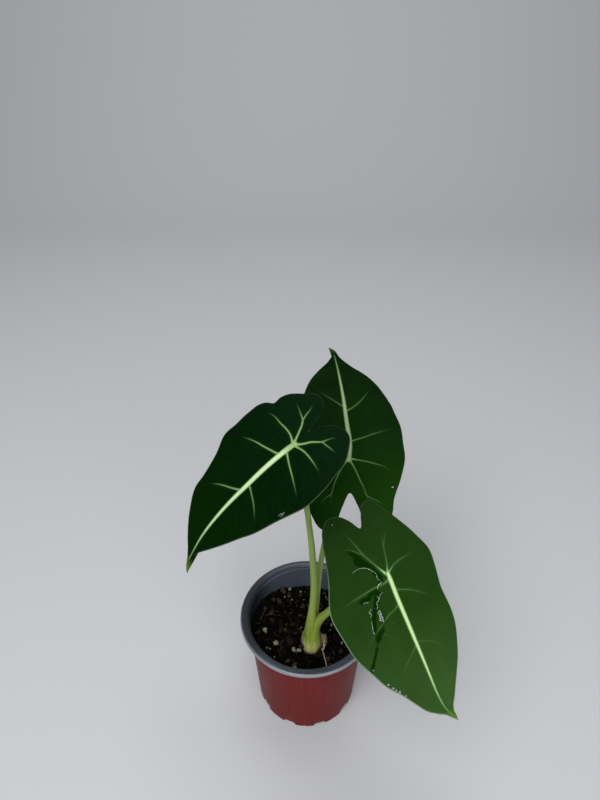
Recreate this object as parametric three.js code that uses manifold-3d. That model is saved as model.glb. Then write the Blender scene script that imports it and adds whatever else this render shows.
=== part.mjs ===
// A frydek alocasia with three leaves, in a 10 cm nursery pot.
// Millimetres, +Z up. The origin is the middle of the pot's foot, on the surface that it stands on.
// +X is to the right and -Y is towards a viewer in front of the plant.

import * as THREE from 'three';
import { mergeVertices } from 'three/addons/utils/BufferGeometryUtils.js';
import Module from 'manifold-3d';

const wasm = await Module();
wasm.setup();

// The gap kept between two pieces that touch.
const GAP = 0.35;

// Pot
const POT_HEIGHT = 91;
const RIM_RADIUS = 50;
const SHOULDER_RADIUS = 44.2;
const FOOT_RADIUS = 38.4;
const POT_WALL = 0.8;
const LIP_THICKNESS = 1.1;
const LIP_DROP = 2.6;
const FOOT_CORNER = 1.4;
const FLOOR_THICKNESS = 3.2;
const POT_SEGMENTS = 40;
const STACKING_RINGS = 2;
const STACKING_RING_PITCH = 4;
const STACKING_RING_HEIGHT = 0.5;
const FIRST_RING_Z = 79;
const CHANNELS = 10;
const CHANNEL_DEPTH = 2;
const CHANNEL_START = 13;
const CHANNEL_TURN = -39;
const CHANNEL_HALF_TURN = 6.5;
const DRAIN_HOLE_RADIUS = 2.7;
const DRAIN_HOLE_CIRCLE = 33;

// Potting mix
const SOIL_LEVEL = 74.8;
const SOIL_FOOT_Z = FLOOR_THICKNESS + GAP;
const SOIL_SECTORS = 30;
const SOIL_RINGS = 7;
const CLODS = 20;
const PERLITE_GRAINS = 22;

// Stem
const STEM = [3.6, -17];
const BULB_RADIUS = 6.2;
const BULB_FOOT_Z = 77.2;
const SHEATH_TOP_Z = 116;
const SHEATH_MOUTH_Z = 111;
const CORM_FOOT_Z = 46;
const CORM_WAIST_Z = 79;
const CORM_RADIUS = 8.8;
const CORM_RIM_RADIUS = 7.7;
const CORM_RIM_Z = 87;
const CORM_SKIN = 0.7;
const TEAR_SLOPE = THREE.MathUtils.degToRad(50);
const ROOTS = 6;
const ROOT_SPREAD = 27;

// Leaves
const BLADE_THICKNESS = 0.9;
const BLADE_RINGS = [0.3, 0.56, 0.79, 1];
const RIB_RISE = 0.2;
const MIDRIB_START = -2;
const MIDRIB_SHARE = 0.92;
const MIDRIB_RADIUS = 1.6;
const MIDRIB_TIP_RADIUS = 0.5;
const RIB_RADIUS = 0.6;
const RIB_TIP_RADIUS = 0.42;
const LOBE_REACH = 40;
const HALF_WIDTH = 30;
const FOLD_EASE = 4;

// Each leaf is drawn flat, with x from the stalk to the tip and y to the left of it, and then shaped:
// bend carries the tip sideways, droop arches it down, lobeDroop lowers the back lobes,
// fold raises both halves from the midrib, cup lowers the margins and wave ripples them.
// spine is the midrib's shift to the left, at even steps from the stalk to the tip.
// The outline runs from the tip down the left side, round the notch and up the right side.
// Forked ribs go into the back lobes, and each fork starts at the end of its rib.
const LEAVES = {
  left: {
    junction: [-8, -20, 271],
    heading: -156,
    slope: -27,
    roll: -20,
    length: 94,
    bend: 11,
    droop: 26,
    lobeDroop: 6,
    fold: 0.12,
    cup: 1,
    wave: 0.9,
    waveLength: 31,
    spine: [0, 0, -0.5, -0.7, -0.3],
    colour: 0x123708,
    outline: [
      [93.5, 4.8], [89, 3.3], [84.5, 2.6], [78, 6.2], [68, 11.6], [57, 18.4], [46, 24.6], [35, 28.8],
      [23, 32], [12, 34.3], [2, 33.5], [-7, 30], [-15, 27], [-21, 22], [-26, 14.5], [-25, 7.5], [-18, 1.2],
      [-9.5, -0.8],
      [-18, -4.5], [-25.5, -10], [-26, -16.5], [-20, -21.8], [-12.5, -26.6], [-8, -27.3], [-3, -26.7],
      [0.5, -30], [5, -32.2], [13, -32.5], [22, -31], [31, -31], [41, -27], [53, -23.6], [63, -22.6],
      [71, -18], [76.5, -13.4], [82, -7.9], [87.4, -2.7], [91.5, 1.2],
    ],
    ribs: [
      [[6, 1], [11.5, 15], [16, 28]],
      [[33, 1], [38, 12], [42, 20]],
      [[0, 1], [-2, 14], [-1, 27]],
      [[1, -1], [1, -14], [5, -28]],
      [[12, -1], [18, -16], [25, -26]],
      [[39, -1], [47, -11], [56, -20]],
    ],
    lobeRibs: [
      [[-1, 1], [-6, 5], [-12, 8]],
      [[-1, -1], [-7, -6], [-11, -9]],
    ],
    forks: [
      [[-12, 8], [-13.5, 13], [-15, 19]],
      [[-12, 8], [-16, 10], [-20, 12]],
      [[-11, -9], [-13, -14], [-14, -21]],
      [[-11, -9], [-15, -11], [-21, -14]],
    ],
  },
  back: {
    junction: [26, 17, 228],
    heading: 89,
    slope: 24,
    roll: -3,
    length: 96,
    bend: 10,
    droop: 10,
    lobeDroop: 6,
    fold: 0.12,
    cup: 1,
    wave: 0.8,
    waveLength: 34,
    spine: [0, -0.9, -1.1, -1.1, -0.6],
    colour: 0x15390c,
    outline: [
      [95, 2.6], [88, 1.4], [81, 5.2], [71, 14], [61, 21.6], [50, 26.6], [37, 30.4], [23, 34.2],
      [8, 35.4], [-5, 34.4], [-17, 31.5], [-29, 27.2], [-37, 23.8], [-44, 19], [-46.5, 12.8],
      [-40, 8.5], [-31, 4.6],
      [-23, 0], [-31, -4.8], [-40, -8.5], [-45, -15], [-43, -22.5], [-36, -25.6], [-28, -26.9],
      [-15, -31.8], [-3, -35], [10, -35.2], [20, -34.8], [30, -32.4], [39, -28.8], [49, -27],
      [57, -23.4], [66, -17.6], [75, -9.4], [85, -3], [91.5, -1],
    ],
    ribs: [
      [[39, 1], [46, 8], [55, 17]],
      [[12, 1], [16, 14], [21, 28]],
      [[-1, 1], [-4, 15], [-9, 28]],
      [[35, -1], [42, -10], [52, -19]],
      [[12, -1], [14.5, -13], [19, -29]],
      [[-1, -1], [-3, -14], [-10, -28]],
    ],
    lobeRibs: [
      [[-3, 1], [-13, 8], [-24, 11]],
      [[-2, -1], [-13, -5.5], [-25, -10]],
    ],
    forks: [
      [[-24, 11], [-27, 12], [-33, 13.5]],
      [[-24, 11], [-28, 17], [-33, 22]],
      [[-25, -10], [-29, -11], [-35, -12.5]],
      [[-25, -10], [-28, -16], [-33, -22]],
    ],
  },
  right: {
    junction: [44, -52, 200],
    heading: -67,
    slope: -35,
    roll: -2,
    length: 85,
    bend: 10,
    droop: 7,
    lobeDroop: 7,
    fold: 0.1,
    cup: 1,
    wave: 0.7,
    waveLength: 29,
    spine: [0, 0.8, 1.3, 0.9, 0],
    colour: 0x1f4413,
    outline: [
      [85, 3], [80, 4], [73, 8.6], [62, 16], [52, 22.2], [40, 27.4], [28, 29.2], [16, 29.4], [4, 30.4],
      [-6, 31], [-16, 26.6], [-27, 20.6], [-37, 15], [-44, 9.5], [-42, 3.6], [-36, 0], [-29, -4],
      [-35, -8.5], [-39.5, -14], [-39.5, -21], [-35, -26.6], [-27, -30], [-19, -31.6], [-9, -34.6],
      [2, -38], [14, -40], [26, -38.4], [36, -35.4], [45, -31], [54, -27], [62, -20.2],
      [70, -13.8], [79, -4],
    ],
    ribs: [
      [[9, 1], [15, 12], [20, 22]],
      [[38, 1], [43, 10], [47, 17]],
      [[-1, 1], [-5, 11], [-7, 21]],
      [[5, -1], [8, -14], [11, -34]],
      [[19.5, -1], [26, -13], [34, -28]],
      [[41, -1], [47, -8], [52, -14]],
    ],
    lobeRibs: [
      [[-1, 1], [-10, 4.5], [-22, 9]],
      [[-1, -1], [-8, -5], [-13, -8]],
    ],
    forks: [
      [[-22, 9], [-27, 10.5], [-33, 11.5]],
      [[-22, 9], [-26, 13], [-29, 16]],
      [[-13, -8], [-19, -15], [-22, -24]],
      [[-13, -8], [-22, -10], [-33, -14]],
    ],
  },
};

// Stalks: the points of each centre line from the foot up, and the radius along it at even steps.
const STALKS = {
  left: {
    points: [
      [2.6, -18.3, 97], [3.6, -17.8, 116], [4, -18, 145], [2.6, -18.3, 177], [-0.2, -18.8, 209],
      [-3.9, -19.3, 241],
    ],
    radii: [2.2, 2.5, 2.45, 2.3, 2.15, 1.95, 1.8, 1.7, 1.75],
  },
  back: {
    points: [
      [5.2, -13.6, 99], [6, -12.9, 116], [7.3, -11.2, 143], [9.8, -7.4, 168], [14.8, -0.8, 193],
      [20.4, 8, 213],
    ],
    radii: [1.8, 2.05, 2.05, 2, 1.9, 1.75, 1.6, 1.55, 1.6],
  },
  right: {
    points: [
      [6.8, -17.2, 96], [9, -18.4, 104], [11.8, -20.4, 115], [16, -23.4, 127], [25.5, -31, 152],
      [35.5, -41, 178],
    ],
    radii: [2.5, 2.7, 2.5, 2.3, 2.1, 1.9, 1.8, 1.75, 1.8],
  },
};
const STALK_SIDES = 10;
const STALK_STEPS = 14;

// A random number generator that gives the same row of numbers each time.
function seededRandom(seed) {
  let state = seed;
  return () => {
    state = (state * 1664525 + 1013904223) % 4294967296;
    return state / 4294967296;
  };
}

// A closed mesh as a solid that can be joined and cut.
function solidOf(geometry) {
  const bare = geometry.clone();
  bare.deleteAttribute('normal');
  bare.deleteAttribute('uv');
  const merged = mergeVertices(bare, 1e-4);
  const index = merged.index.array;
  const corners = [];
  for (let i = 0; i < index.length; i += 3) {
    const [a, b, c] = [index[i], index[i + 1], index[i + 2]];
    if (a !== b && b !== c && c !== a) {
      corners.push(a, b, c);
    }
  }
  return new wasm.Manifold(new wasm.Mesh({
    numProp: 3,
    vertProperties: new Float32Array(merged.attributes.position.array),
    triVerts: new Uint32Array(corners),
  }));
}

// The largest body of a solid, without the loose scraps that a cut leaves.
function largestBody(solid) {
  const bodies = solid.decompose();
  bodies.sort((a, b) => b.volume() - a.volume());
  return bodies[0];
}

function joinAll(solids) {
  let sum = solids[0];
  for (const solid of solids.slice(1)) {
    sum = sum.add(solid);
  }
  return sum;
}

function meshOf(name, solid, colour, roughness) {
  const { numProp, vertProperties, triVerts } = largestBody(solid).getMesh();
  const positions = [];
  for (let i = 0; i < vertProperties.length; i += numProp) {
    positions.push(vertProperties[i], vertProperties[i + 1], vertProperties[i + 2]);
  }
  const geometry = new THREE.BufferGeometry();
  geometry.setAttribute('position', new THREE.Float32BufferAttribute(positions, 3));
  geometry.setIndex(Array.from(triVerts));
  geometry.computeVertexNormals();
  const material = new THREE.MeshStandardMaterial({ color: colour, roughness, metalness: 0 });
  const mesh = new THREE.Mesh(geometry, material);
  mesh.name = name;
  return mesh;
}

function geometryFrom(vertices, faces) {
  const geometry = new THREE.BufferGeometry();
  geometry.setAttribute('position', new THREE.Float32BufferAttribute(vertices.flat(), 3));
  geometry.setIndex(faces.flat());
  return geometry;
}

// The value at u, from 0 to 1, in a list of values at even steps.
function valueAlong(values, u) {
  const place = u * (values.length - 1);
  const i = Math.min(Math.floor(place), values.length - 2);
  return values[i] + (values[i + 1] - values[i]) * (place - i);
}

// A round stem with a changing radius along a smooth curve through the points.
function stemSolid(points, radii, sides, steps) {
  const curve = new THREE.CatmullRomCurve3(points.map((p) => new THREE.Vector3(...p)));
  const frames = curve.computeFrenetFrames(steps, false);
  const vertices = [];
  const faces = [];
  for (let i = 0; i <= steps; i += 1) {
    const centre = curve.getPointAt(i / steps);
    const radius = valueAlong(radii, i / steps);
    for (let j = 0; j < sides; j += 1) {
      const angle = (2 * Math.PI * j) / sides;
      const point = centre.clone();
      point.addScaledVector(frames.normals[i], radius * Math.cos(angle));
      point.addScaledVector(frames.binormals[i], radius * Math.sin(angle));
      vertices.push(point.toArray());
    }
  }
  const foot = vertices.length;
  vertices.push(curve.getPointAt(0).toArray());
  vertices.push(curve.getPointAt(1).toArray());
  for (let j = 0; j < sides; j += 1) {
    const next = (j + 1) % sides;
    for (let i = 0; i < steps; i += 1) {
      const low = i * sides;
      const high = low + sides;
      faces.push([low + j, low + next, high + next], [low + j, high + next, high + j]);
    }
    const top = steps * sides;
    faces.push([foot, next, j], [foot + 1, top + j, top + next]);
  }
  return solidOf(geometryFrom(vertices, faces));
}

// A solid of revolution about Z, from a closed profile of [radius, z] points.
function turnedSolid(profile, segments) {
  const outline = profile.map(([radius, z]) => new THREE.Vector2(radius, z));
  const geometry = new THREE.LatheGeometry(outline, segments);
  geometry.rotateX(Math.PI / 2);
  return solidOf(geometry);
}

// Pot

function outerRadius(z) {
  return FOOT_RADIUS + ((SHOULDER_RADIUS - FOOT_RADIUS) * z) / POT_HEIGHT;
}

function innerRadius(z) {
  return outerRadius(z) - POT_WALL;
}

// The wall's profile over the stacking rings, with each ring pressed out of the wall.
function ringProfile(radiusAt) {
  const points = [];
  for (let i = 0; i < STACKING_RINGS; i += 1) {
    const z = FIRST_RING_Z + i * STACKING_RING_PITCH;
    points.push([radiusAt(z - 1), z - 1]);
    points.push([radiusAt(z) + STACKING_RING_HEIGHT, z]);
    points.push([radiusAt(z + 1), z + 1]);
  }
  return points;
}

function makePot() {
  const top = POT_HEIGHT;
  const under = top - LIP_THICKNESS;
  const outerWall = [
    [0, 0],
    [FOOT_RADIUS - FOOT_CORNER, 0],
    [FOOT_RADIUS, FOOT_CORNER],
    ...ringProfile(outerRadius),
    [SHOULDER_RADIUS, under - 1],
  ];
  const lip = [
    [SHOULDER_RADIUS + 1, under],
    [RIM_RADIUS - 1.4, under - 0.3],
    [RIM_RADIUS - 0.9, top - LIP_DROP],
    [RIM_RADIUS, top - LIP_DROP],
    [RIM_RADIUS, top - 1],
    [RIM_RADIUS - 0.8, top - 0.2],
    [RIM_RADIUS - 2.5, top],
    [SHOULDER_RADIUS + 1, top - 0.1],
    [SHOULDER_RADIUS - 0.1, top - 0.9],
  ];
  const innerWall = [
    [innerRadius(top - 3), top - 3],
    ...ringProfile(innerRadius).reverse(),
    [innerRadius(FLOOR_THICKNESS + FOOT_CORNER), FLOOR_THICKNESS + FOOT_CORNER],
    [innerRadius(FLOOR_THICKNESS) - FOOT_CORNER, FLOOR_THICKNESS],
    [0, FLOOR_THICKNESS],
  ];
  let pot = turnedSolid([...outerWall, ...lip, ...innerWall], POT_SEGMENTS);
  const halfTurn = THREE.MathUtils.degToRad(CHANNEL_HALF_TURN);
  const reach = RIM_RADIUS;
  const wedge = new THREE.Shape([
    new THREE.Vector2(CHANNEL_START, -1),
    new THREE.Vector2(reach, -reach * Math.tan(halfTurn)),
    new THREE.Vector2(reach, reach * Math.tan(halfTurn)),
    new THREE.Vector2(CHANNEL_START, 1),
  ]);
  for (let i = 0; i < CHANNELS; i += 1) {
    const turn = THREE.MathUtils.degToRad(CHANNEL_TURN + (360 * i) / CHANNELS);
    const channel = new THREE.ExtrudeGeometry(wedge, { depth: CHANNEL_DEPTH + 1, bevelEnabled: false });
    channel.translate(0, 0, -1);
    channel.rotateZ(turn);
    const hole = new THREE.CylinderGeometry(DRAIN_HOLE_RADIUS, DRAIN_HOLE_RADIUS, 12, 8);
    hole.rotateX(Math.PI / 2);
    hole.translate(DRAIN_HOLE_CIRCLE, 0, 0);
    hole.rotateZ(turn);
    pot = pot.subtract(solidOf(channel)).subtract(solidOf(hole));
  }
  return pot;
}

// Corm, with the roots that it sends down and one that strays over the mix.
// The skin is torn lower in front. A clearance above zero gives the hollow that the corm stands in.
function makeCorm(clearance) {
  const outside = [
    [0, CORM_FOOT_Z],
    [3.5, CORM_FOOT_Z + 1],
    [7, CORM_FOOT_Z + 8],
    [CORM_RADIUS - 0.2, CORM_FOOT_Z + 18],
    [CORM_RADIUS, CORM_WAIST_Z],
    [CORM_RIM_RADIUS, CORM_RIM_Z],
  ];
  const inside = [
    [CORM_RIM_RADIUS - CORM_SKIN, CORM_RIM_Z],
    [CORM_RADIUS - CORM_SKIN, CORM_WAIST_Z],
    [BULB_RADIUS, BULB_FOOT_Z - GAP],
    [0, BULB_FOOT_Z - GAP],
  ];
  const profile = clearance > 0 ? [...outside, [0, CORM_RIM_Z]] : [...outside, ...inside];
  const grown = profile.map(([radius, z]) => [radius > 0 ? radius + clearance : 0, z]);
  grown[0][1] -= clearance;
  const geometry = new THREE.LatheGeometry(grown.map((p) => new THREE.Vector2(...p)), 16);
  geometry.rotateX(Math.PI / 2);
  geometry.translate(...STEM, 0);
  const [x, y] = STEM;
  let body = solidOf(geometry);
  if (clearance === 0) {
    const tear = new THREE.BoxGeometry(40, 60, 30);
    tear.translate(0, 0, 15);
    tear.rotateX(TEAR_SLOPE);
    tear.translate(x, y + 1, CORM_RIM_Z);
    body = body.subtract(solidOf(tear));
  }
  const pieces = [body];
  for (let i = 0; i < ROOTS; i += 1) {
    const angle = (2 * Math.PI * (i + 0.3)) / ROOTS;
    const turned = angle + (i % 2 ? 0.5 : -0.4);
    const end = [ROOT_SPREAD * Math.cos(turned), ROOT_SPREAD * Math.sin(turned)];
    const start = [x + 5 * Math.cos(angle), y + 5 * Math.sin(angle)];
    const points = [
      [start[0], start[1], 58],
      [start[0] * 0.6 + end[0] * 0.4, start[1] * 0.6 + end[1] * 0.4, 47 - 3 * (i % 3)],
      [end[0] * 0.9, end[1] * 0.9, 30 - 4 * (i % 2)],
      [end[0], end[1], 12],
    ];
    const radii = [1.5, 1.2, 0.9].map((radius) => radius + clearance);
    pieces.push(stemSolid(points, radii, 5, 6));
  }
  const stray = [
    [x + 6, y - 3, 74], [11.2, -23, 76.2], [12.4, -27.5, 75.9], [13.6, -32.5, 75.6], [14.6, -37, 74.6],
  ];
  const strayRadii = [0.8, 0.6, 0.5, 0.45].map((radius) => radius + clearance);
  pieces.push(stemSolid(stray, strayRadii, 5, 8));
  return joinAll(pieces);
}

// Potting mix: a slightly uneven top with clods and perlite grains sunk in it.

function soilHeight(x, y) {
  const swell = 0.9 * Math.sin(x / 9 + 0.6) * Math.cos(y / 11 - 0.4);
  const lumps = 0.5 * Math.sin(x / 3.7 + y / 5.1) + 0.4 * Math.cos(y / 3.3 - x / 6.2 + 1);
  return SOIL_LEVEL + swell + lumps;
}

function makeGrains() {
  const random = seededRandom(7);
  const grains = [];
  const total = CLODS + PERLITE_GRAINS;
  for (let i = 0; i < total; i += 1) {
    const isClod = i < CLODS;
    const distance = 38 * Math.sqrt(random());
    const angle = 2 * Math.PI * random();
    const x = distance * Math.cos(angle);
    const y = distance * Math.sin(angle);
    const size = isClod ? 1.6 + 1.7 * random() : 0.9 + 0.9 * random();
    const grain = new THREE.IcosahedronGeometry(size, 0);
    grain.scale(1, 0.75 + 0.4 * random(), 0.7);
    grain.rotateZ(2 * Math.PI * random());
    grain.translate(x, y, soilHeight(x, y) + 0.1 * size);
    const clear = Math.hypot(x - STEM[0], y - STEM[1]) > BULB_RADIUS + 2.5 + size;
    if (clear) {
      grains.push(solidOf(grain));
    }
  }
  return grains;
}

function makeSoil(hollows) {
  const vertices = [];
  const faces = [];
  const edge = innerRadius(SOIL_LEVEL) - GAP - 0.1;
  vertices.push([0, 0, soilHeight(0, 0)]);
  for (let i = 1; i <= SOIL_RINGS; i += 1) {
    for (let j = 0; j < SOIL_SECTORS; j += 1) {
      const angle = (2 * Math.PI * j) / SOIL_SECTORS;
      const x = ((edge * i) / SOIL_RINGS) * Math.cos(angle);
      const y = ((edge * i) / SOIL_RINGS) * Math.sin(angle);
      vertices.push([x, y, soilHeight(x, y)]);
    }
  }
  const footRadius = innerRadius(SOIL_FOOT_Z) - FOOT_CORNER - GAP;
  const shoulderZ = SOIL_FOOT_Z + FOOT_CORNER + GAP;
  const shoulderRadius = innerRadius(shoulderZ) - GAP - 0.1;
  for (const [radius, z] of [[shoulderRadius, shoulderZ], [footRadius, SOIL_FOOT_Z]]) {
    for (let j = 0; j < SOIL_SECTORS; j += 1) {
      const angle = (2 * Math.PI * j) / SOIL_SECTORS;
      vertices.push([radius * Math.cos(angle), radius * Math.sin(angle), z]);
    }
  }
  const bottom = vertices.length;
  vertices.push([0, 0, SOIL_FOOT_Z]);
  const lastRing = SOIL_RINGS + 1;
  for (let j = 0; j < SOIL_SECTORS; j += 1) {
    const next = (j + 1) % SOIL_SECTORS;
    faces.push([0, 1 + j, 1 + next]);
    for (let i = 0; i < lastRing; i += 1) {
      const inner = 1 + i * SOIL_SECTORS;
      const outer = inner + SOIL_SECTORS;
      faces.push([inner + j, outer + j, outer + next], [inner + j, outer + next, inner + next]);
    }
    const low = 1 + lastRing * SOIL_SECTORS;
    faces.push([bottom, low + next, low + j]);
  }
  let soil = solidOf(geometryFrom(vertices, faces));
  soil = joinAll([soil, ...makeGrains()]);
  for (const hollow of hollows) {
    soil = soil.subtract(hollow);
  }
  return soil;
}

// Leaves

function bladeHeight(leaf, x, y) {
  const forward = Math.max(x, 0) / leaf.length;
  const backward = Math.max(-x, 0) / LOBE_REACH;
  const side = y / HALF_WIDTH;
  const arch = -leaf.droop * forward ** 2 - leaf.lobeDroop * backward ** 2;
  const trough = leaf.fold * (Math.hypot(y, FOLD_EASE) - FOLD_EASE) - leaf.cup * side ** 2;
  const phase = y > 0 ? 0.8 : 2.6;
  const ripple = leaf.wave * Math.abs(side) ** 3 * Math.sin((2 * Math.PI * x) / leaf.waveLength + phase);
  return arch + trough + ripple;
}

// The place of a flat drawing's point on the shaped blade, raised by a distance.
function onBlade(leaf, x, y, raised) {
  const forward = Math.max(x, 0) / leaf.length;
  return [x, y + leaf.bend * forward ** 2, bladeHeight(leaf, x, y) + raised];
}

function bladeSolid(leaf) {
  const round = [...leaf.outline, leaf.outline[0]];
  const outline = new THREE.SplineCurve(round.map((p) => new THREE.Vector2(...p)));
  const count = Math.round(leaf.outline.length * 1.5);
  const edge = [];
  for (let j = 0; j < count; j += 1) {
    edge.push(outline.getPoint(j / count));
  }
  const half = BLADE_THICKNESS / 2;
  const vertices = [];
  const faces = [];
  for (const raised of [half, -half]) {
    vertices.push(onBlade(leaf, 0, 0, raised));
    for (const share of BLADE_RINGS) {
      for (const point of edge) {
        vertices.push(onBlade(leaf, point.x * share, point.y * share, raised));
      }
    }
  }
  const under = vertices.length / 2;
  const rings = BLADE_RINGS.length;
  for (let j = 0; j < count; j += 1) {
    const next = (j + 1) % count;
    faces.push([0, 1 + j, 1 + next], [under, under + 1 + next, under + 1 + j]);
    for (let i = 0; i < rings - 1; i += 1) {
      const inner = 1 + i * count;
      const outer = inner + count;
      const [a, b, c, d] = [inner + j, outer + j, outer + next, inner + next];
      faces.push([a, b, c], [a, c, d]);
      faces.push([under + a, under + c, under + b], [under + a, under + d, under + c]);
    }
    const rim = 1 + (rings - 1) * count;
    faces.push([rim + j, under + rim + j, under + rim + next], [rim + j, under + rim + next, rim + next]);
  }
  return solidOf(geometryFrom(vertices, faces));
}

// A rib that stands a little proud of the blade's upper face and further below its lower face.
function ribSolid(leaf, path, thick, thin, sides, steps) {
  const flat = new THREE.SplineCurve(path.map((p) => new THREE.Vector2(...p)));
  const points = [];
  for (let i = 0; i <= steps; i += 1) {
    const { x, y } = flat.getPoint(i / steps);
    const radius = thick + ((thin - thick) * i) / steps;
    points.push(onBlade(leaf, x, y, BLADE_THICKNESS / 2 + RIB_RISE - radius));
  }
  return stemSolid(points, [thick, thin], sides, steps);
}

function makeLeaf(leaf) {
  const last = leaf.spine.length - 1;
  const reach = MIDRIB_SHARE * leaf.length;
  const midrib = leaf.spine.map((shift, i) => [MIDRIB_START + ((reach - MIDRIB_START) * i) / last, shift]);
  const pieces = [bladeSolid(leaf)];
  pieces.push(ribSolid(leaf, midrib, MIDRIB_RADIUS, MIDRIB_TIP_RADIUS, 6, 7));
  for (const path of leaf.ribs) {
    pieces.push(ribSolid(leaf, path, RIB_RADIUS, RIB_TIP_RADIUS, 4, 3));
  }
  for (const path of leaf.lobeRibs) {
    pieces.push(ribSolid(leaf, path, RIB_RADIUS * 1.5, RIB_RADIUS, 4, 2));
  }
  for (const path of leaf.forks) {
    pieces.push(ribSolid(leaf, path, RIB_RADIUS * 0.9, RIB_TIP_RADIUS, 4, 2));
  }
  return joinAll(pieces);
}

function leafTurn(leaf) {
  const { degToRad } = THREE.MathUtils;
  return new THREE.Euler(degToRad(leaf.roll), -degToRad(leaf.slope), degToRad(leaf.heading), 'ZYX');
}

// Stalks: each runs up to its blade and is cut square to it, just clear of the midrib's underside.

function makeStalk(side, clearance) {
  const leaf = LEAVES[side];
  const { points, radii } = STALKS[side];
  const foot = [points[0][0], points[0][1], points[0][2] - clearance];
  const path = [foot, ...points.slice(1), leaf.junction];
  const grown = radii.map((radius) => radius + clearance);
  const ribDepth = 2 * MIDRIB_RADIUS - BLADE_THICKNESS / 2 - RIB_RISE;
  const above = new THREE.BoxGeometry(40, 40, 20);
  above.translate(0, 0, 10 - ribDepth - GAP);
  above.applyMatrix4(new THREE.Matrix4().makeRotationFromEuler(leafTurn(leaf)));
  above.translate(...leaf.junction);
  return stemSolid(path, grown, STALK_SIDES, STALK_STEPS).subtract(solidOf(above));
}

// The lowest stalk's sheath: it swells into the pale bulb at its foot and wraps the other two stalks.
function makeSheathedStalk() {
  const [x, y] = STEM;
  const centre = [
    [x, y, BULB_FOOT_Z], [x + 0.1, y, 86], [x + 0.6, y + 0.4, 96], [x + 1.3, y + 0.8, 106],
    [x + 1.6, y + 1, SHEATH_TOP_Z],
  ];
  const radii = [5.2, BULB_RADIUS, BULB_RADIUS, 5.9, 5.8, 5.7, 5.6, 5.4, 5];
  let sheath = stemSolid(centre, radii, 14, 9);
  const mouth = new THREE.BoxGeometry(60, 60, 40);
  mouth.translate(0, 0, 20);
  mouth.rotateY(-Math.atan(1.6));
  mouth.translate(x + 4.4, y, SHEATH_MOUTH_Z);
  sheath = sheath.subtract(solidOf(mouth));
  const joined = sheath.add(makeStalk('right', 0));
  return joined.subtract(makeStalk('left', GAP)).subtract(makeStalk('back', GAP));
}

// A scrap of an old dry sheath, curling out from the right of the stem and back to the mix.
function makeDrySheath() {
  const thickness = 0.7;
  const path = [[8.6, 92], [9.8, 89.4], [11.2, 85], [11.5, 80.6], [10.6, 77]];
  const halfSpread = [14, 26, 34, 38, 30];
  const middle = -12;
  const across = 5;
  const curve = new THREE.SplineCurve(path.map((p) => new THREE.Vector2(...p)));
  const along = 7;
  const vertices = [];
  const faces = [];
  for (const inward of [0, thickness]) {
    for (let i = 0; i <= along; i += 1) {
      const { x: distance, y: z } = curve.getPoint(i / along);
      const spread = valueAlong(halfSpread, i / along);
      for (let j = 0; j <= across; j += 1) {
        const turn = THREE.MathUtils.degToRad(middle + spread * ((2 * j) / across - 1));
        const radius = distance - inward;
        vertices.push([STEM[0] + radius * Math.cos(turn), STEM[1] + radius * Math.sin(turn), z]);
      }
    }
  }
  const row = across + 1;
  const inner = row * (along + 1);
  for (let i = 0; i < along; i += 1) {
    for (let j = 0; j < across; j += 1) {
      const [a, b, c, d] = [i * row + j, i * row + j + 1, (i + 1) * row + j + 1, (i + 1) * row + j];
      faces.push([a, c, b], [a, d, c]);
      faces.push([inner + a, inner + b, inner + c], [inner + a, inner + c, inner + d]);
    }
    for (const j of [0, across]) {
      const [a, d] = [i * row + j, (i + 1) * row + j];
      const left = [[a, inner + a, inner + d], [a, inner + d, d]];
      const right = left.map(([p, q, r]) => [p, r, q]);
      faces.push(...(j === 0 ? left : right));
    }
  }
  for (let j = 0; j < across; j += 1) {
    const top = [j, j + 1];
    const low = [along * row + j, along * row + j + 1];
    faces.push([top[0], top[1], inner + top[1]], [top[0], inner + top[1], inner + top[0]]);
    faces.push([low[0], inner + low[1], low[1]], [low[0], inner + low[0], inner + low[1]]);
  }
  return solidOf(geometryFrom(vertices, faces));
}

const plant = new THREE.Group();
plant.name = 'potted_frydek_alocasia';
plant.add(meshOf('pot', makePot(), 0x6f2f2c, 0.45));
plant.add(meshOf('soil', makeSoil([makeCorm(GAP)]), 0x17130e, 0.95));
plant.add(meshOf('corm', makeCorm(0), 0x6b5236, 0.8));
plant.add(meshOf('dry_sheath', makeDrySheath(), 0x7a5f40, 0.7));
plant.add(meshOf('stalk_right', makeSheathedStalk(), 0x7d8f35, 0.45));
plant.add(meshOf('stalk_left', makeStalk('left', 0), 0x7f9440, 0.45));
plant.add(meshOf('stalk_back', makeStalk('back', 0), 0x76883a, 0.45));
for (const [side, leaf] of Object.entries(LEAVES)) {
  const blade = meshOf(`leaf_${side}`, makeLeaf(leaf), leaf.colour, 0.6);
  blade.position.set(...leaf.junction);
  blade.rotation.copy(leafTurn(leaf));
  plant.add(blade);
}

export default plant;
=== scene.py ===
"""The looks of a frydek alocasia with three leaves, in a 10 cm nursery pot.

Each piece is worked out in millimetres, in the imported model's frame, and kept in metres.
"""

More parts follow.
